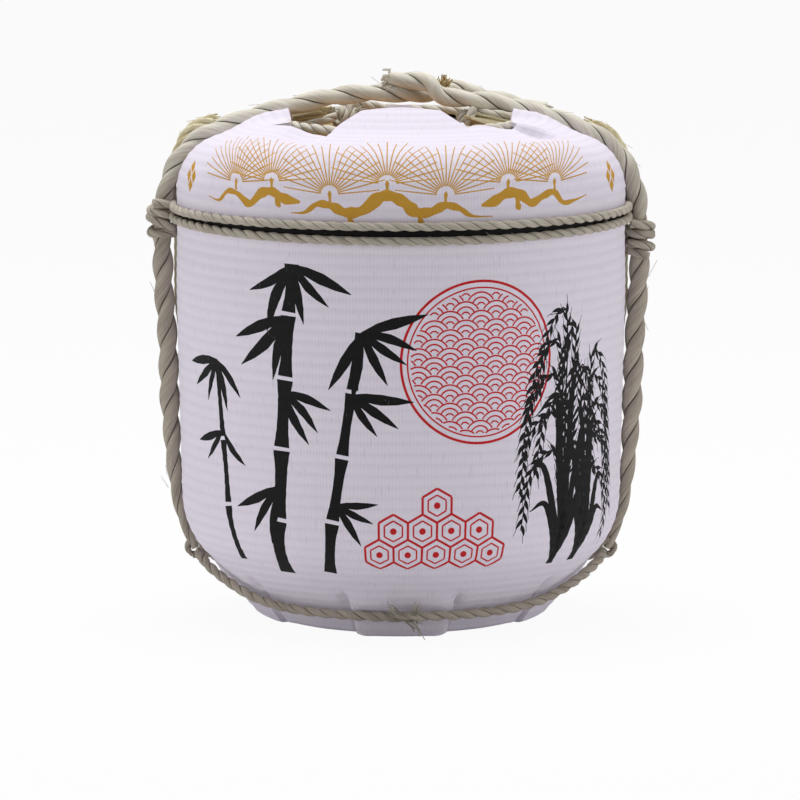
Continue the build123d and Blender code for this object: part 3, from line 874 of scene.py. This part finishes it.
def mat_columns(middle):
    """Azimuths of a mat's columns, closer where a flap starts."""
    least = 0.2
    stop = math.degrees(seam_gap / wall_radius)
    pitch = math.degrees(sizes().column_pitch / wall_radius)
    columns = list(np.linspace(-90 + stop, 90 - stop, round(180 / pitch)))
    edges = [foot_flap_turn / 2, foot_flap_turn * 1.5]
    edges += [math.degrees(math.atan2(*corner)) for corner in (front_flap[:2], front_flap[2:])]
    edges += [90 - math.degrees(math.atan2(*corner)) for corner in (side_flap[:2], side_flap[2:])]
    close = [sign * (edge + shift) for sign in (-1, 1) for edge in edges for shift in (-0.5, 0.0, 0.5)]
    columns += [turn for turn in close if abs(turn) < 90 - 2 * stop]
    columns = sorted(set(np.round(columns, 3)))
    spaced = [columns[0]]
    for turn in columns[1:-1]:
        if turn - spaced[-1] > least and columns[-1] - turn > least:
            spaced.append(turn)
    return np.array([*spaced, columns[-1]]) + middle


def printed_mat(name, middle, motifs, finishes):
    """One mat: its outer face cut along the print, a back face and the raw straw edge between them."""
    wrap = Wrap()
    size = sizes()
    columns = mat_columns(middle)
    ends = wrap.mouth(columns)
    rows = np.arange(0, most_rows, 0.25) * size.row_pitch
    scale = math.radians(1) * wall_radius / MM
    flat = [(azimuth * scale, 0.0) for azimuth in columns]
    side_rows = rows[(rows > 0) & (rows < ends[-1] - MM)]
    flat += [(columns[-1] * scale, row / MM) for row in side_rows]
    flat += [(azimuth * scale, end / MM) for azimuth, end in zip(columns[::-1], ends[::-1])]
    flat += [(columns[0] * scale, row / MM) for row in side_rows[::-1]]
    faces, inks = [list(range(len(flat)))], [PLAIN]
    for azimuth, end in zip(columns[1:-1], ends[1:-1]):
        flat += [(azimuth * scale, row / MM) for row in rows if 0 < row < end - MM]
    for ink, shape in motifs:
        shape = wrap.upright(np.array(shape)) + [middle * scale, wrap.floor / MM]
        turned = np.roll(shape, -1, axis=0)
        if np.sum(shape[:, 0] * turned[:, 1] - turned[:, 0] * shape[:, 1]) < 0:
            shape = shape[::-1]
        faces.append(list(range(len(flat), len(flat) + len(shape))))
        flat += [tuple(corner) for corner in shape]
        inks.append(ink)
    inside_only, nearness = 1, 1e-5
    cut = delaunay_2d_cdt([Vector(corner) for corner in flat], [], faces, inside_only, nearness, True)
    spots = np.array([corner[:] for corner in cut[0]])
    count = len(spots)
    azimuths, along = spots[:, 0] / scale, spots[:, 1] * MM
    points = np.concatenate([wrap.place(azimuths, along), wrap.place(azimuths, along, size.mat_thickness)])
    front, edges = [], {}
    for face, sources in zip(cut[2], cut[5]):
        if 0 in sources:
            front.append((face, max(inks[source] for source in sources)))
            edges.update(dict.fromkeys(zip(face, face[1:] + face[:1])))
    layers = front + [(tuple(count + corner for corner in reversed(face)), PLAIN) for face, _ in front]
    for a, b in edges:
        if (b, a) not in edges:
            in_mouth = along[b] > wrap.at_height(0.42)
            layers.append(((b, a, a + count, b + count), PLAIN if in_mouth else RAW))
    skin = Skin()
    texture = spots * MM
    places = [tuple(texture[corner % count]) for face, _ in layers for corner in face]
    skin.add(points, [face for face, _ in layers], places)
    skin.finishes = [finish for _, finish in layers]
    piece = skin.piece(name, "printed", finishes, "printed_mat", smooth_angle=50)


def mat_finish(name, ink=None):
    """Whitened straw mat: upright straws bound by rows, with painted shade along the rows' grooves, with or
    without ink on them.
    """
    size, ground = sizes(), colours().mat
    finish = Finish(name)
    across, along, _ = finish.places("UV")
    sway = finish.noise(across * 30, along * 12, detail=1.0)
    ribs = (across / size.rib_pitch + sway * 0.8).wave()
    # Painted shade: the mat is darker along each binding row's groove; the ribs and fibres below are its own
    # tone.
    row_groove_shade = (along / size.row_pitch).wave()
    fibres = finish.noise(across * 2400, along * 160, detail=3.0, roughness=0.6)
    shade = (row_groove_shade * 0.26 + ribs.step(0.0, 0.5) * 0.26 + fibres * 0.48).step(0.1, 0.85)
    slits = finish.noise(across * 420, along * 70, detail=1.0).step(0.64, 0.74)
    colour = finish.mix(shade, [part * 0.86 for part in ground], ground)
    colour = finish.mix(slits * 0.24, colour, [part * 0.55 for part in ground])
    if ink is not None:
        patches = finish.noise(across * 60, along * 60)
        worn = ribs ** 0.5 * 0.35 + fibres * 0.5 + patches * 0.3
        colour = finish.mix(worn.step(0.28, 0.38), colour, ink)
    normal = finish.bump(ribs ** 0.6 * 0.4 + fibres * 0.45, 0.0005, 0.55)
    return finish.surface(
        Base_Color=colour, Roughness=0.62 + 0.2 * fibres, Normal=normal, Specular_IOR_Level=0.22)


def flowing(points):
    """A smooth line through points on the mat."""
    points = np.array(points, float)
    ends = np.concatenate([[2 * points[0] - points[1]], points, [2 * points[-1] - points[-2]]])
    shares = np.linspace(0, 1, 8, endpoint=False)
    line = []
    for a, b, c, d in zip(ends, ends[1:], ends[2:], ends[3:]):
        square, cube = 2 * a - 5 * b + 4 * c - d, 3 * b - a - 3 * c + d
        line += [0.5 * (2 * b + (c - a) * t + square * t**2 + cube * t**3) for t in shares]
    return np.array([*line, points[-1]])


def brushed(points, widths):
    """The outline of a brush stroke along a smooth line, its width changing on the way."""
    line = flowing(points)
    share = np.linspace(0, 1, len(line))
    half = np.interp(share, np.linspace(0, 1, len(widths)), widths)[:, None] / 2
    way = unit(np.gradient(line, axis=0))
    side = np.stack([-way[:, 1], way[:, 0]], axis=1) * half
    return np.concatenate([line + side, (line - side)[::-1]])


def on_circle(x, y, radius, turn):
    """A point on a circle, its turn in degrees from straight up."""
    return (x + radius * math.sin(math.radians(turn)), y + radius * math.cos(math.radians(turn)))


def arc(x, y, radius, start, end, width):
    """A stroke of even width along part of a circle, turns in degrees from straight up."""
    turns = np.linspace(start, end, max(4, round(abs(end - start) * radius / 120)))
    outer = [on_circle(x, y, radius + width / 2, turn) for turn in turns]
    inner = [on_circle(x, y, radius - width / 2, turn) for turn in turns]
    return outer + inner[::-1]


def circle(ink, x, y, radius, width):
    """A ring, drawn as two arcs that overlap."""
    return [(ink, arc(x, y, radius, 0, 181, width)), (ink, arc(x, y, radius, 180, 361, width))]


def disc(x, y, radius):
    return [on_circle(x, y, radius, turn) for turn in np.linspace(0, 360, 20, endpoint=False)]


def leaf(x, y, turn, length, width, droop=0.0):
    """A pointed leaf, its turn in degrees from straight up."""
    middle = on_circle(x, y, length * 0.5, turn)
    tip = on_circle(x, y, length, turn + droop)
    return brushed([(x, y), middle, tip], [width * 0.12, width * 0.8, width, width * 0.7, width * 0.06])


def pine_fan(x, y):
    """A fan of pine needles over a bud."""
    length, needles, spread = 52, 19, 84
    shapes = []
    for number, turn in enumerate(np.linspace(-spread, spread, needles)):
        reach = length * (0.9 + 0.1 * (number % 2)) * (1 - 0.12 * (abs(turn) / spread) ** 2)
        needle = [on_circle(x, y, length * 0.14, turn), on_circle(x, y, reach, turn)]
        shapes.append((GOLD, brushed(needle, [1.1, 0.9])))
    shapes.append((GOLD, brushed([(x, y - 6), (x, y - 1), (x, y + 3)], [2.4, 2.2, 3.4, 1.0])))
    return shapes


# The pine band: needle fans by place, and the boughs under them by points and widths
pine_fans = [(-148, 373), (-110, 376), (-58, 368), (-11, 377), (36, 368), (89, 376), (135, 374)]
pine_boughs = [
    ([(-186, 359), (-171, 357), (-159, 365), (-147, 364), (-134, 357), (-121, 366), (-110, 368), (-98, 363),
      (-84, 361)],
     [0.8, 1.2, 2.0, 3.4, 3.0, 5.2, 3.8, 5.0, 7.6, 5.0, 6.6, 8.6, 5.6, 8.0, 6.2, 9.4, 5.8, 2.0]),
    ([(-92, 352), (-80, 353), (-69, 360), (-57, 359), (-45, 354), (-31, 356), (-18, 366), (-9, 368), (2, 363),
      (12, 355), (24, 355), (36, 360), (48, 357), (58, 351), (76, 350)],
     [0.8, 1.4, 2.6, 4.6, 3.8, 7.0, 5.2, 9.0, 6.6, 10.2, 7.0, 9.4, 11.4, 7.8, 9.6, 7.4, 10.0, 8.0, 11.6, 7.4,
      9.0, 6.4, 8.4, 5.4, 6.6, 4.0, 4.6, 2.4, 1.2, 0.8]),
    ([(66, 359), (77, 362), (89, 368), (101, 366), (112, 359), (124, 364), (135, 366), (146, 357), (161, 358),
      (175, 361)],
     [2.0, 6.0, 9.6, 6.8, 9.2, 7.2, 8.8, 5.6, 7.8, 5.0, 6.8, 4.4, 5.4, 3.4, 4.4, 2.4, 1.4, 0.8]),
]
# Short stubs that hang from the boughs
pine_stubs = [(-106, 364), (-42, 351), (15, 351), (98, 362)]


def pine_band():
    """Pine boughs round the shoulder: needle fans over crooked branches."""
    shapes = []
    for x, y in pine_fans:
        shapes += pine_fan(x, y)
    shapes += [(GOLD, brushed(line, widths)) for line, widths in pine_boughs]
    for x, y in pine_stubs:
        shapes.append((GOLD, brushed([(x, y + 2), (x + 1, y - 4), (x + 3, y - 8)], [4.0, 4.0, 6.0, 2.0])))
    return shapes


def painted_cord_gap_shadow():
    """Painted shadow: a black band all along the mat where the shoulder cords go, standing for the shade in the
    gap between the two cords.
    """
    reach, low, high = 284, 334.5, 340.5
    across = np.linspace(-reach, reach, 120)
    return [(BLACK, [(x, low) for x in across] + [(x, high) for x in across[::-1]])]


def diamonds(x, y):
    """Four small diamonds set in a diamond."""
    size, fill, stretch = 6, 0.82, 1.25
    half = size * fill
    up = half * stretch
    shapes = []
    for dx, dy in ((0, 1), (1, 0), (0, -1), (-1, 0)):
        cx, cy = x + dx * size, y + dy * size * stretch
        shapes.append((GOLD, [(cx - half, cy), (cx, cy - up), (cx + half, cy), (cx, cy + up)]))
    return shapes


def bamboo_stalk(foot, head, width, joints, rng):
    """A brush-drawn stalk: swelling strokes with a gap at each joint."""
    gap, bow, taper = 1.6, 1.2, 0.25
    swell = np.array([1.12, 0.86, 0.80, 0.86, 1.14])
    foot, head = np.array(foot, float), np.array(head, float)
    shares = [0.0, *joints, 1.0]
    shapes = []
    for low, high in zip(shares, shares[1:]):
        start, end = foot + (head - foot) * low, foot + (head - foot) * high
        way = unit(end - start)
        start, end = start + way * gap, end - way * gap
        aside = np.array([-way[1], way[0]]) * rng.uniform(-bow, bow)
        girth = width * (1 - taper * low)
        shapes.append((BLACK, brushed([start, (start + end) / 2 + aside, end], girth * swell)))
    return shapes


def bamboo_leaves(x, y, turns, length, rng):
    """A hanging cluster of leaves from one twig."""
    shapes = []
    for turn in turns:
        reach = length * rng.uniform(0.8, 1.1)
        shapes.append((BLACK, leaf(x, y, turn, reach, reach * 0.17, rng.uniform(-7, 7))))
    return shapes


# The bamboo: each stalk's foot, head, width and joints, then each leaf cluster's place, turns and length
bamboo_stalks = [
    ((-112, 48), (-92, 312), 15, (0.2, 0.42, 0.64, 0.84)),
    ((-66, 52), (-32, 258), 11, (0.24, 0.5, 0.76)),
    ((-160, 58), (-176, 226), 8, (0.3, 0.62)),
]
leaf_clusters = [
    (-92, 310, (-126, -150, 112, 140, 168), 58), (-96, 268, (-110, -136, -160), 60),
    (-102, 206, (102, 128, 154), 50), (-107, 128, (-116, -142, -168), 50),
    (-32, 257, (74, 102, 128, 156, -150, -172), 56), (-42, 206, (98, 124, 150), 50),
    (-55, 116, (92, 118, 146), 44), (-176, 226, (-96, -124, -152, 130, 160), 44),
    (-170, 168, (-108, -136, 140), 40),
]


def bamboo(rng):
    """Three stalks with their leaves."""
    shapes = []
    for stalk in bamboo_stalks:
        shapes += bamboo_stalk(*stalk, rng)
    for cluster in leaf_clusters:
        shapes += bamboo_leaves(*cluster, rng)
    return shapes


def wave_roundel(x, y):
    """A ring filled with the old pattern of overlapping waves."""
    radius, scale, width = 66, 13, 2.2
    shapes = circle(RED, x, y, radius, width) + circle(RED, x, y, radius - 2.4 * width, width * 0.6)
    inside = radius - 3.4 * width
    most = math.ceil(inside / (scale * 0.5))
    turns = np.linspace(-62, 62, 25)
    for row in range(-most, most + 1):
        for column in range(-6, 7):
            cx = x + (column + 0.5 * (row % 2)) * scale * 2
            cy = y + row * scale * 0.5 * 1.15
            for reach in (scale * 0.94, scale * 0.62, scale * 0.30):
                fits = [t for t in turns if math.dist(on_circle(cx, cy, reach, t), (x, y)) < inside]
                if len(fits) > 4:
                    shapes.append((RED, arc(cx, cy, reach, fits[0], fits[-1], width * 0.62)))
    return shapes


def hexagon(x, y, radius, width):
    """A six-sided ring, drawn as six strokes."""
    corners = [on_circle(x, y, radius, 60 * side) for side in range(7)]
    return [(RED, brushed([a, b], [width, width])) for a, b in zip(corners, corners[1:])]


def shell_cluster(x, y, rows, radius):
    """Linked hexagons in rows of so many, each with a smaller one and a dot in it."""
    shapes = []
    for row, count in enumerate(rows):
        for column in range(count):
            cx, cy = x + (column - (count - 1) / 2) * radius * math.sqrt(3), y + row * radius * 1.5
            shapes += hexagon(cx, cy, radius, 2.0) + hexagon(cx, cy, radius * 0.62, 1.4)
            shapes.append((RED, disc(cx, cy, radius * 0.2)))
    return shapes


def rice_ear(x, y, hand, height, lean, rng):
    """A rice stem with its drooping ear of grains."""
    grains, pitch, slant = 24, 5.2, 26
    top = (x + hand * lean * 0.55, y + height)
    nod = (x + hand * (lean + 20), y + height - 14)
    tip = (x + hand * (lean + 30), y + height - 62)
    stem = [(x, y), (x + hand * lean * 0.12, y + height * 0.5), top, nod, tip]
    shapes = [(BLACK, brushed(stem, [2.6, 2.0, 1.5, 1.2, 0.8]))]
    line = evenly(flowing(stem), pitch)
    for number, (a, b) in enumerate(zip(line[-grains:], line[1 - grains:])):
        way = math.degrees(math.atan2(b[0] - a[0], b[1] - a[1]))
        side = slant if number % 2 else -slant
        shapes.append((BLACK, leaf(*a, way + side + rng.uniform(-6, 6), 10.5, 3.6)))
        bristle = [on_circle(*a, 9, way + side), on_circle(*a, 17, way + side * 0.8)]
        shapes.append((BLACK, brushed(bristle, [0.7, 0.5])))
    return shapes


# A sheaf's ears by height and lean, and its blades by height, lean and nod
sheaf_ears = [
    (262, 2), (232, 12), (198, 20), (246, -22), (160, 26), (208, -34), (178, 4), (122, 18), (150, -38),
]
sheaf_blades = [
    (150, -34, -52), (196, -16, -40), (110, 30, 52), (128, -10, -46), (84, -30, -50), (70, 26, 46),
    (178, 12, 40),
]


def rice_sheaf(x, y, hand, scale, rng):
    """Rice stems and long blades that spread from one foot."""
    shapes = []
    for height, lean in sheaf_ears:
        shapes += rice_ear(x + hand * rng.uniform(-4, 4), y, hand, height * scale, lean * scale, rng)
    for height, lean, nod in sheaf_blades:
        line = [(0, 0), (lean * 0.5, height * 0.62), (lean, height), (nod, height * 0.9)]
        line = [(x + hand * scale * dx, y + scale * dy) for dx, dy in line]
        shapes.append((BLACK, brushed(line, [2.2, 7.0, 7.6, 6.0, 3.2, 0.5])))
    return shapes


def front_print():
    """The front mat's print: inks and shapes, in millimetres from the middle and over the floor."""
    rng = np.random.default_rng(17)
    # The black band between the shoulder cords is painted shadow, laid with the print.
    shapes = pine_band() + painted_cord_gap_shadow() + diamonds(-222, 372) + diamonds(222, 372)
    shapes += wave_roundel(66, 232) + shell_cluster(30, 74, (5, 4, 1), 14) + bamboo(rng)
    return shapes + rice_sheaf(150, 56, -1, 0.8, rng) + rice_sheaf(182, 56, 1, 0.66, rng)


def back_print():
    """The back mat's print: the pine band over two sheaves, two clusters and a roundel."""
    rng = np.random.default_rng(23)
    # The black band between the shoulder cords is painted shadow, laid with the print.
    shapes = pine_band() + painted_cord_gap_shadow() + wave_roundel(0, 220)
    shapes += rice_sheaf(-30, 58, -1, 0.9, rng) + rice_sheaf(30, 58, 1, 0.9, rng)
    for x in (-165, 165):
        shapes += shell_cluster(x, 128, (1, 2, 3, 2, 1), 15)
    return shapes


# Bundles of folded straw under the side flaps: where each starts and ends, and its straws
mouth_bundles = [
    ((-0.116, 0.018, 0.4100), (-0.066, 0.016, 0.4175), 44),
    ((-0.112, 0.040, 0.4060), (-0.070, 0.042, 0.4120), 20),
    ((0.112, -0.016, 0.4030), (0.060, -0.014, 0.4120), 44),
    ((0.112, 0.030, 0.4045), (0.070, 0.034, 0.4110), 20),
]


def straw_collar(finishes):
    """Folded straw in the mouth: packed straw under many loose straws, and bundles under the side flaps."""
    size = sizes()
    low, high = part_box("straw_collar")
    inner, outer, cover = 0.084, 0.137, 0.003
    rng = np.random.default_rng(5)
    skin = Skin()
    top = high.z - cover
    packed_ring(skin, [(inner + cover, low.z), (outer, low.z), (outer - 2 * cover, top), (inner + cover, top)])
    share = np.linspace(0, 1, 9)
    for number in range(size.collar_straws):
        if number % 3 == 0:
            radius, level = inner + rng.uniform(0.0012, 0.004), rng.uniform(low.z + 0.002, top)
        else:
            radius = inner + rng.uniform(0.002, outer - inner - 0.008)
            level = high.z - rng.uniform(0.0015, 0.004)
        start, sweep = rng.uniform(0, 360), rng.uniform(18, 52)
        drift, rise = rng.normal(0, 0.0025), rng.normal(0, 0.0008)
        turn = np.radians(start + sweep * share)
        reach = np.maximum(radius + drift * (share - 0.5), inner + 0.001)
        height = np.minimum(level + rise * (share - 0.5), high.z - 0.0014)
        line = np.stack([reach * np.sin(turn), -reach * np.cos(turn), height], axis=1)
        loose_straw(skin, line, size.straw_radius * rng.uniform(0.7, 1.2), number)
    for start, end, count in mouth_bundles:
        for number in range(count):
            share = np.linspace(-0.1 * rng.random(), 1 + 0.12 * rng.random(), 6)[:, None]
            aside = rng.normal(0, 1, 3) * (0.003, 0.007, 0.0020)
            bend = np.array([0, 0, 0.002]) * rng.normal() * share**2
            line = np.array(start) * (1 - share) + np.array(end) * share + aside + bend
            loose_straw(skin, line, size.straw_radius * rng.uniform(0.7, 1.2), number, finish=1)
    skin.piece("straw_collar", "bundle", finishes, "straw")


def packed_ring(skin, corners, ripples=0, depth=0.0):
    """A closed ring of packed straw from its section, radius and height, with upright ripples."""
    sides, least = 240, 0.001
    count = len(corners)
    points, places, faces = [], [], []
    for side in range(sides):
        turn = side * 2 * math.pi / sides
        sink = depth * (math.cos(turn * ripples) - 1) / 2
        for radius, height in corners:
            reach = max(radius + sink, least)
            points.append((reach * math.sin(turn), -reach * math.cos(turn), height))
        here, there, number = side * count, (side + 1) % sides * count, side * 0.5
        for corner in range(count):
            onward = (corner + 1) % count
            faces.append((here + corner, there + corner, there + onward, here + onward))
            places += [(0.0, number), (0.0, number + 0.4), (0.03, number + 0.4), (0.03, number)]
    skin.add(points, faces, places)


def straw_packing(finishes):
    """The straw round the barrel and the pad under it, in upright and radial bundles."""
    bundle_depth = 0.0012
    low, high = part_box("straw_jacket")
    section = [(0.150, low.z), (0.1615, low.z), (0.1755, 0.085), (0.1800, 0.270), (0.1800, 0.345),
               (0.1770, high.z), (0.1730, high.z)]
    jacket = Skin()
    packed_ring(jacket, section, ripples=90, depth=bundle_depth)
    jacket.piece("straw_jacket", "bundles", finishes, "straw")
    low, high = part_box("base_pad")
    pad = Skin()
    section = [(0.004, low.z), (0.107, low.z), (0.1385, high.z), (0.004, high.z)]
    packed_ring(pad, section, ripples=60, depth=bundle_depth)
    pad.piece("base_pad", "bundles", finishes, "straw")


# The shoulder straw's route behind each thick rope: distance from the axis and height
shoulder_straw_route = [
    (0.1835, 0.3740), (0.1800, 0.3880), (0.1740, 0.3985), (0.1655, 0.4055), (0.1540, 0.4075),
]
# How far it lies behind the rope, and how much lower each side's is
shoulder_straw_behind = 0.0125
shoulder_straw_drop = {-1: 0.0, 1: 0.004}


def shoulder_straw(name, hand, finishes):
    """A twisted roll of dry straw along the shoulder, with cut ends."""
    size = sizes()
    step, end_radius, end_length, end_straws = 0.002, 0.0070, 0.005, 44
    drop = shoulder_straw_drop[hand]
    line = smooth_line([(hand * x, shoulder_straw_behind, z - drop) for x, z in shoulder_straw_route], step)
    skin = Skin()
    laid_rope(skin, line, size.roll_radius, size.roll_lay, strands=5, seed=40 + hand)
    for end, inner in ((0, 2), (-1, -3)):
        way = line[end] - line[inner]
        frayed_end(skin, line[end], way, end_radius, end_length, end_straws, seed=50 + hand - end)
    stray_fibres(skin, line, size.roll_radius, count=40, seed=60 + hand)
    skin.piece(name, "roll", finishes, "straw")


def dress_nodes(prefixes, material):
    """Give the solids whose names start so a finish."""
    found = [name for name in sorted(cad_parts) if name.startswith(prefixes)]
    if not found:
        raise RuntimeError(f"the frame has no piece named {prefixes}")
    for name in found:
        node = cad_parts[name]
        node.data.materials.clear()
        node.data.materials.append(material)


def white_backdrop(name, lit):
    """A pale ground that reads as white and still takes the object's shadow."""
    finish = Finish(name)
    rays = ("Is Camera Ray", "Is Glossy Ray", "Is Transmission Ray")
    camera, glossy, through = [finish.node("ShaderNodeLightPath", {}, {}, ray) for ray in rays]
    seen = camera.most(glossy.most(through))
    finish.surface(Base_Color=(0.8, 0.8, 0.8, 1.0), Roughness=0.9)
    glow = finish.node("ShaderNodeEmission", {}, {"Color": WHITE, "Strength": 1.0})
    shader = Value(finish, finish.shader.outputs[0])
    blend = finish.node("ShaderNodeMixShader", {}, {0: seen * lit, 1: shader, 2: glow})
    finish.feed(finish.tree.nodes["Material Output"].inputs["Surface"], blend)
    return finish.material


def lay_floor(scene):
    """A wide pale floor under the barrel."""
    reach, lit = 14.0, 0.94
    corners = [(-reach, -reach, 0), (reach, -reach, 0), (reach, reach, 0), (-reach, reach, 0)]
    mesh = bpy.data.meshes.new("floor")
    mesh.from_pydata(corners, [], [(0, 1, 2, 3)])
    mesh.materials.append(white_backdrop("pale_floor", lit))
    floor = bpy.data.objects.new("floor", mesh)
    scene.collection.objects.link(floor)


def light_world(scene, strength):
    """Even light from all round, which the camera sees as white."""
    world = bpy.data.worlds.new("studio")
    world.use_nodes = True
    scene.world = world
    nodes = Nodes(world.node_tree)
    sky = nodes.tree.nodes["Background"].inputs
    seen = nodes.node("ShaderNodeLightPath", {}, {}, "Is Camera Ray")
    nodes.feed(sky["Strength"], nodes.node("ShaderNodeMix", {}, {0: seen, 2: strength, 3: 1.0}))
    nodes.feed(sky["Color"], WHITE)


def aim_camera(scene, value):
    """A camera that takes in the picture's width at the barrel's axis."""
    lens = bpy.data.cameras.new("camera")
    camera = bpy.data.objects.new("camera", lens)
    camera.location = (value.aim_side, -value.camera_distance, value.camera_height)
    view = Vector((value.aim_side, 0.0, value.aim_height)) - camera.location
    camera.rotation_euler = view.to_track_quat("-Z", "Y").to_euler()
    lens.lens = lens.sensor_width * view.length / value.picture_width
    lens.clip_end = 100.0
    scene.collection.objects.link(camera)
    scene.camera = camera


def soft_light(name, power, place, width):
    """A large square light that faces the barrel."""
    aim = Vector((0.0, 0.0, 0.22))
    light = bpy.data.lights.new(name, "AREA")
    light.energy = power
    light.size = width
    lamp = bpy.data.objects.new(name, light)
    lamp.location = place
    lamp.rotation_euler = (aim - Vector(place)).to_track_quat("-Z", "Y").to_euler()
    bpy.context.scene.collection.objects.link(lamp)


class BARREL_OT_thick_ropes(bpy.types.Operator):
    """Lay the thick ropes up both sides and across the mouth"""
    bl_idname = "barrel.thick_ropes"
    bl_label = "Thick ropes"

    def execute(self, context):
        colour = colours()
        finishes = [rope_finish("thick_rope"), straw_finish("rope_core", colour.straw, colour.straw_shade)]
        thick_rope("left_rope", -1, left_rope_top, finishes)
        thick_rope("right_rope", 1, right_rope_top, finishes)
        return {"FINISHED"}


class BARREL_OT_thin_cords(bpy.types.Operator):
    """Lay the shoulder cords, the foot cord and the mouth cord, and wind the hitches and ties"""
    bl_idname = "barrel.thin_cords"
    bl_label = "Thin cords"

    def execute(self, context):
        size = sizes()
        finishes = [rope_finish("thin_cord")]
        for name, middle in (("front", -90), ("back", 90)):
            for level, height, part in shoulder_cord_levels:
                line = shoulder_cord_line(middle, height, part)
                seed = len(name + level)
                thin_cord(f"{name}_cord_{level}", line, finishes, seed, radius=size.shoulder_cord_radius)
        thin_cord("bottom_cord", foot_cord_line(), finishes, seed=71, fray=0.003, knot=foot_knot)
        thin_cord("mouth_cord", mouth_cord_line(), finishes, seed=72, fray=0.008, loops=mouth_knots())
        for name, hand, height, turns, tilts in hitches:
            thin_cord(f"{name}_hitch", hitch_line(hand, height, turns, tilts), finishes, seed=80 + hand)
            thin_cord(f"{name}_tie", tie_line(hand), finishes, seed=90 + hand, radius=size.tie_radius)
        return {"FINISHED"}


class BARREL_OT_printed_mats(bpy.types.Operator):
    """Wrap the two printed mats round the barrel"""
    bl_idname = "barrel.printed_mats"
    bl_label = "Printed mats"

    def execute(self, context):
        colour = colours()
        inks = (("gold", colour.gold_ink), ("red", colour.red_ink), ("black", colour.black_ink_and_painted_shadow))
        finishes = [mat_finish("mat_white")] + [mat_finish(f"mat_{name}", ink) for name, ink in inks]
        finishes.append(straw_finish("mat_raw_edge", colour.pale_straw, colour.pale_straw_shade))
        printed_mat("front_mat", 0, front_print(), finishes)
        printed_mat("back_mat", 180, back_print(), finishes)
        return {"FINISHED"}


class BARREL_OT_straw(bpy.types.Operator):
    """Lay the straw in the mouth, at the shoulders and round the barrel"""
    bl_idname = "barrel.straw"
    bl_label = "Straw"

    def execute(self, context):
        colour = colours()
        finishes = [straw_finish("dry_straw", colour.straw, colour.straw_shade)]
        paler = [straw_finish("pale_straw", colour.pale_straw, colour.pale_straw_shade)]
        straw_collar(finishes + paler)
        straw_packing(finishes)
        shoulder_straw("left_shoulder_straw", -1, paler)
        shoulder_straw("right_shoulder_straw", 1, paler)
        return {"FINISHED"}


class BARREL_OT_cedar(bpy.types.Operator):
    """Finish the staves, the boards and the plugs in cedar"""
    bl_idname = "barrel.cedar"
    bl_label = "Cedar barrel"

    def execute(self, context):
        colour = colours()
        for prefixes, name, grain in (
            (("stave_", "bung"), "cedar_upright", "Z"),
            (("head_board", "bottom_board"), "cedar_boards", "X"),
            (("tap_plug",), "cedar_plug", "Y"),
        ):
            dress_nodes(prefixes, wood_finish(name, colour.cedar, colour.cedar_grain, grain))
        return {"FINISHED"}


class BARREL_OT_bamboo(bpy.types.Operator):
    """Finish the hoops and the dowels in bamboo"""
    bl_idname = "barrel.bamboo"
    bl_label = "Bamboo hoops"

    def execute(self, context):
        colour = colours()
        for prefixes, name, grain in (
            (("hoop_",), "bamboo_hoop", "X"),
            (("head_dowels", "bottom_dowels"), "bamboo_dowel", "Y"),
        ):
            dress_nodes(prefixes, wood_finish(name, colour.bamboo, colour.bamboo_shade, grain))
        return {"FINISHED"}


class BARREL_OT_stage(bpy.types.Operator):
    """Set the floor, the light and the camera"""
    bl_idname = "barrel.stage"
    bl_label = "Stage"

    def execute(self, context):
        scene = context.scene
        value = stage_values()
        scene.view_settings.view_transform = "Standard"
        lay_floor(scene)
        light_world(scene, value.sky_strength)
        soft_light("left_light", value.left_power, (-2.9, -1.0, 0.45), 1.4)
        soft_light("right_light", value.right_power, (2.9, -1.0, 0.45), 1.4)
        soft_light("top_light", value.top_power, (-0.1, 0.3, 2.9), 1.6)
        aim_camera(scene, value)
        return {"FINISHED"}


class BARREL_PT_pieces(bpy.types.Panel):
    """Lists the barrel's pieces"""
    bl_idname = "BARREL_PT_pieces"
    bl_label = "Straw-wrapped barrel"
    bl_space_type = "VIEW_3D"
    bl_region_type = "UI"
    bl_category = "Barrel"

    def draw(self, context):
        for operator in operators:
            self.layout.operator(operator.bl_idname)


operators = (
    BARREL_OT_stage,
    BARREL_OT_thick_ropes,
    BARREL_OT_thin_cords,
    BARREL_OT_printed_mats,
    BARREL_OT_straw,
    BARREL_OT_cedar,
    BARREL_OT_bamboo,
)
groups = (("barrel_sizes", BarrelSizes), ("barrel_colours", BarrelColours), ("barrel_stage", BarrelStage))


def register():
    for name, group in groups:
        bpy.utils.register_class(group)
        setattr(bpy.types.Scene, name, PointerProperty(type=group))
    for made in (*operators, BARREL_PT_pieces):
        bpy.utils.register_class(made)


def unregister():
    for made in (BARREL_PT_pieces, *reversed(operators)):
        bpy.utils.unregister_class(made)
    for name, group in reversed(groups):
        delattr(bpy.types.Scene, name)
        bpy.utils.unregister_class(group)


def main():
    register()
    bpy.ops.barrel.stage()
    bpy.ops.barrel.thick_ropes()
    bpy.ops.barrel.thin_cords()
    bpy.ops.barrel.printed_mats()
    bpy.ops.barrel.straw()
    bpy.ops.barrel.cedar()
    bpy.ops.barrel.bamboo()


if __name__ == "__main__":
    main()
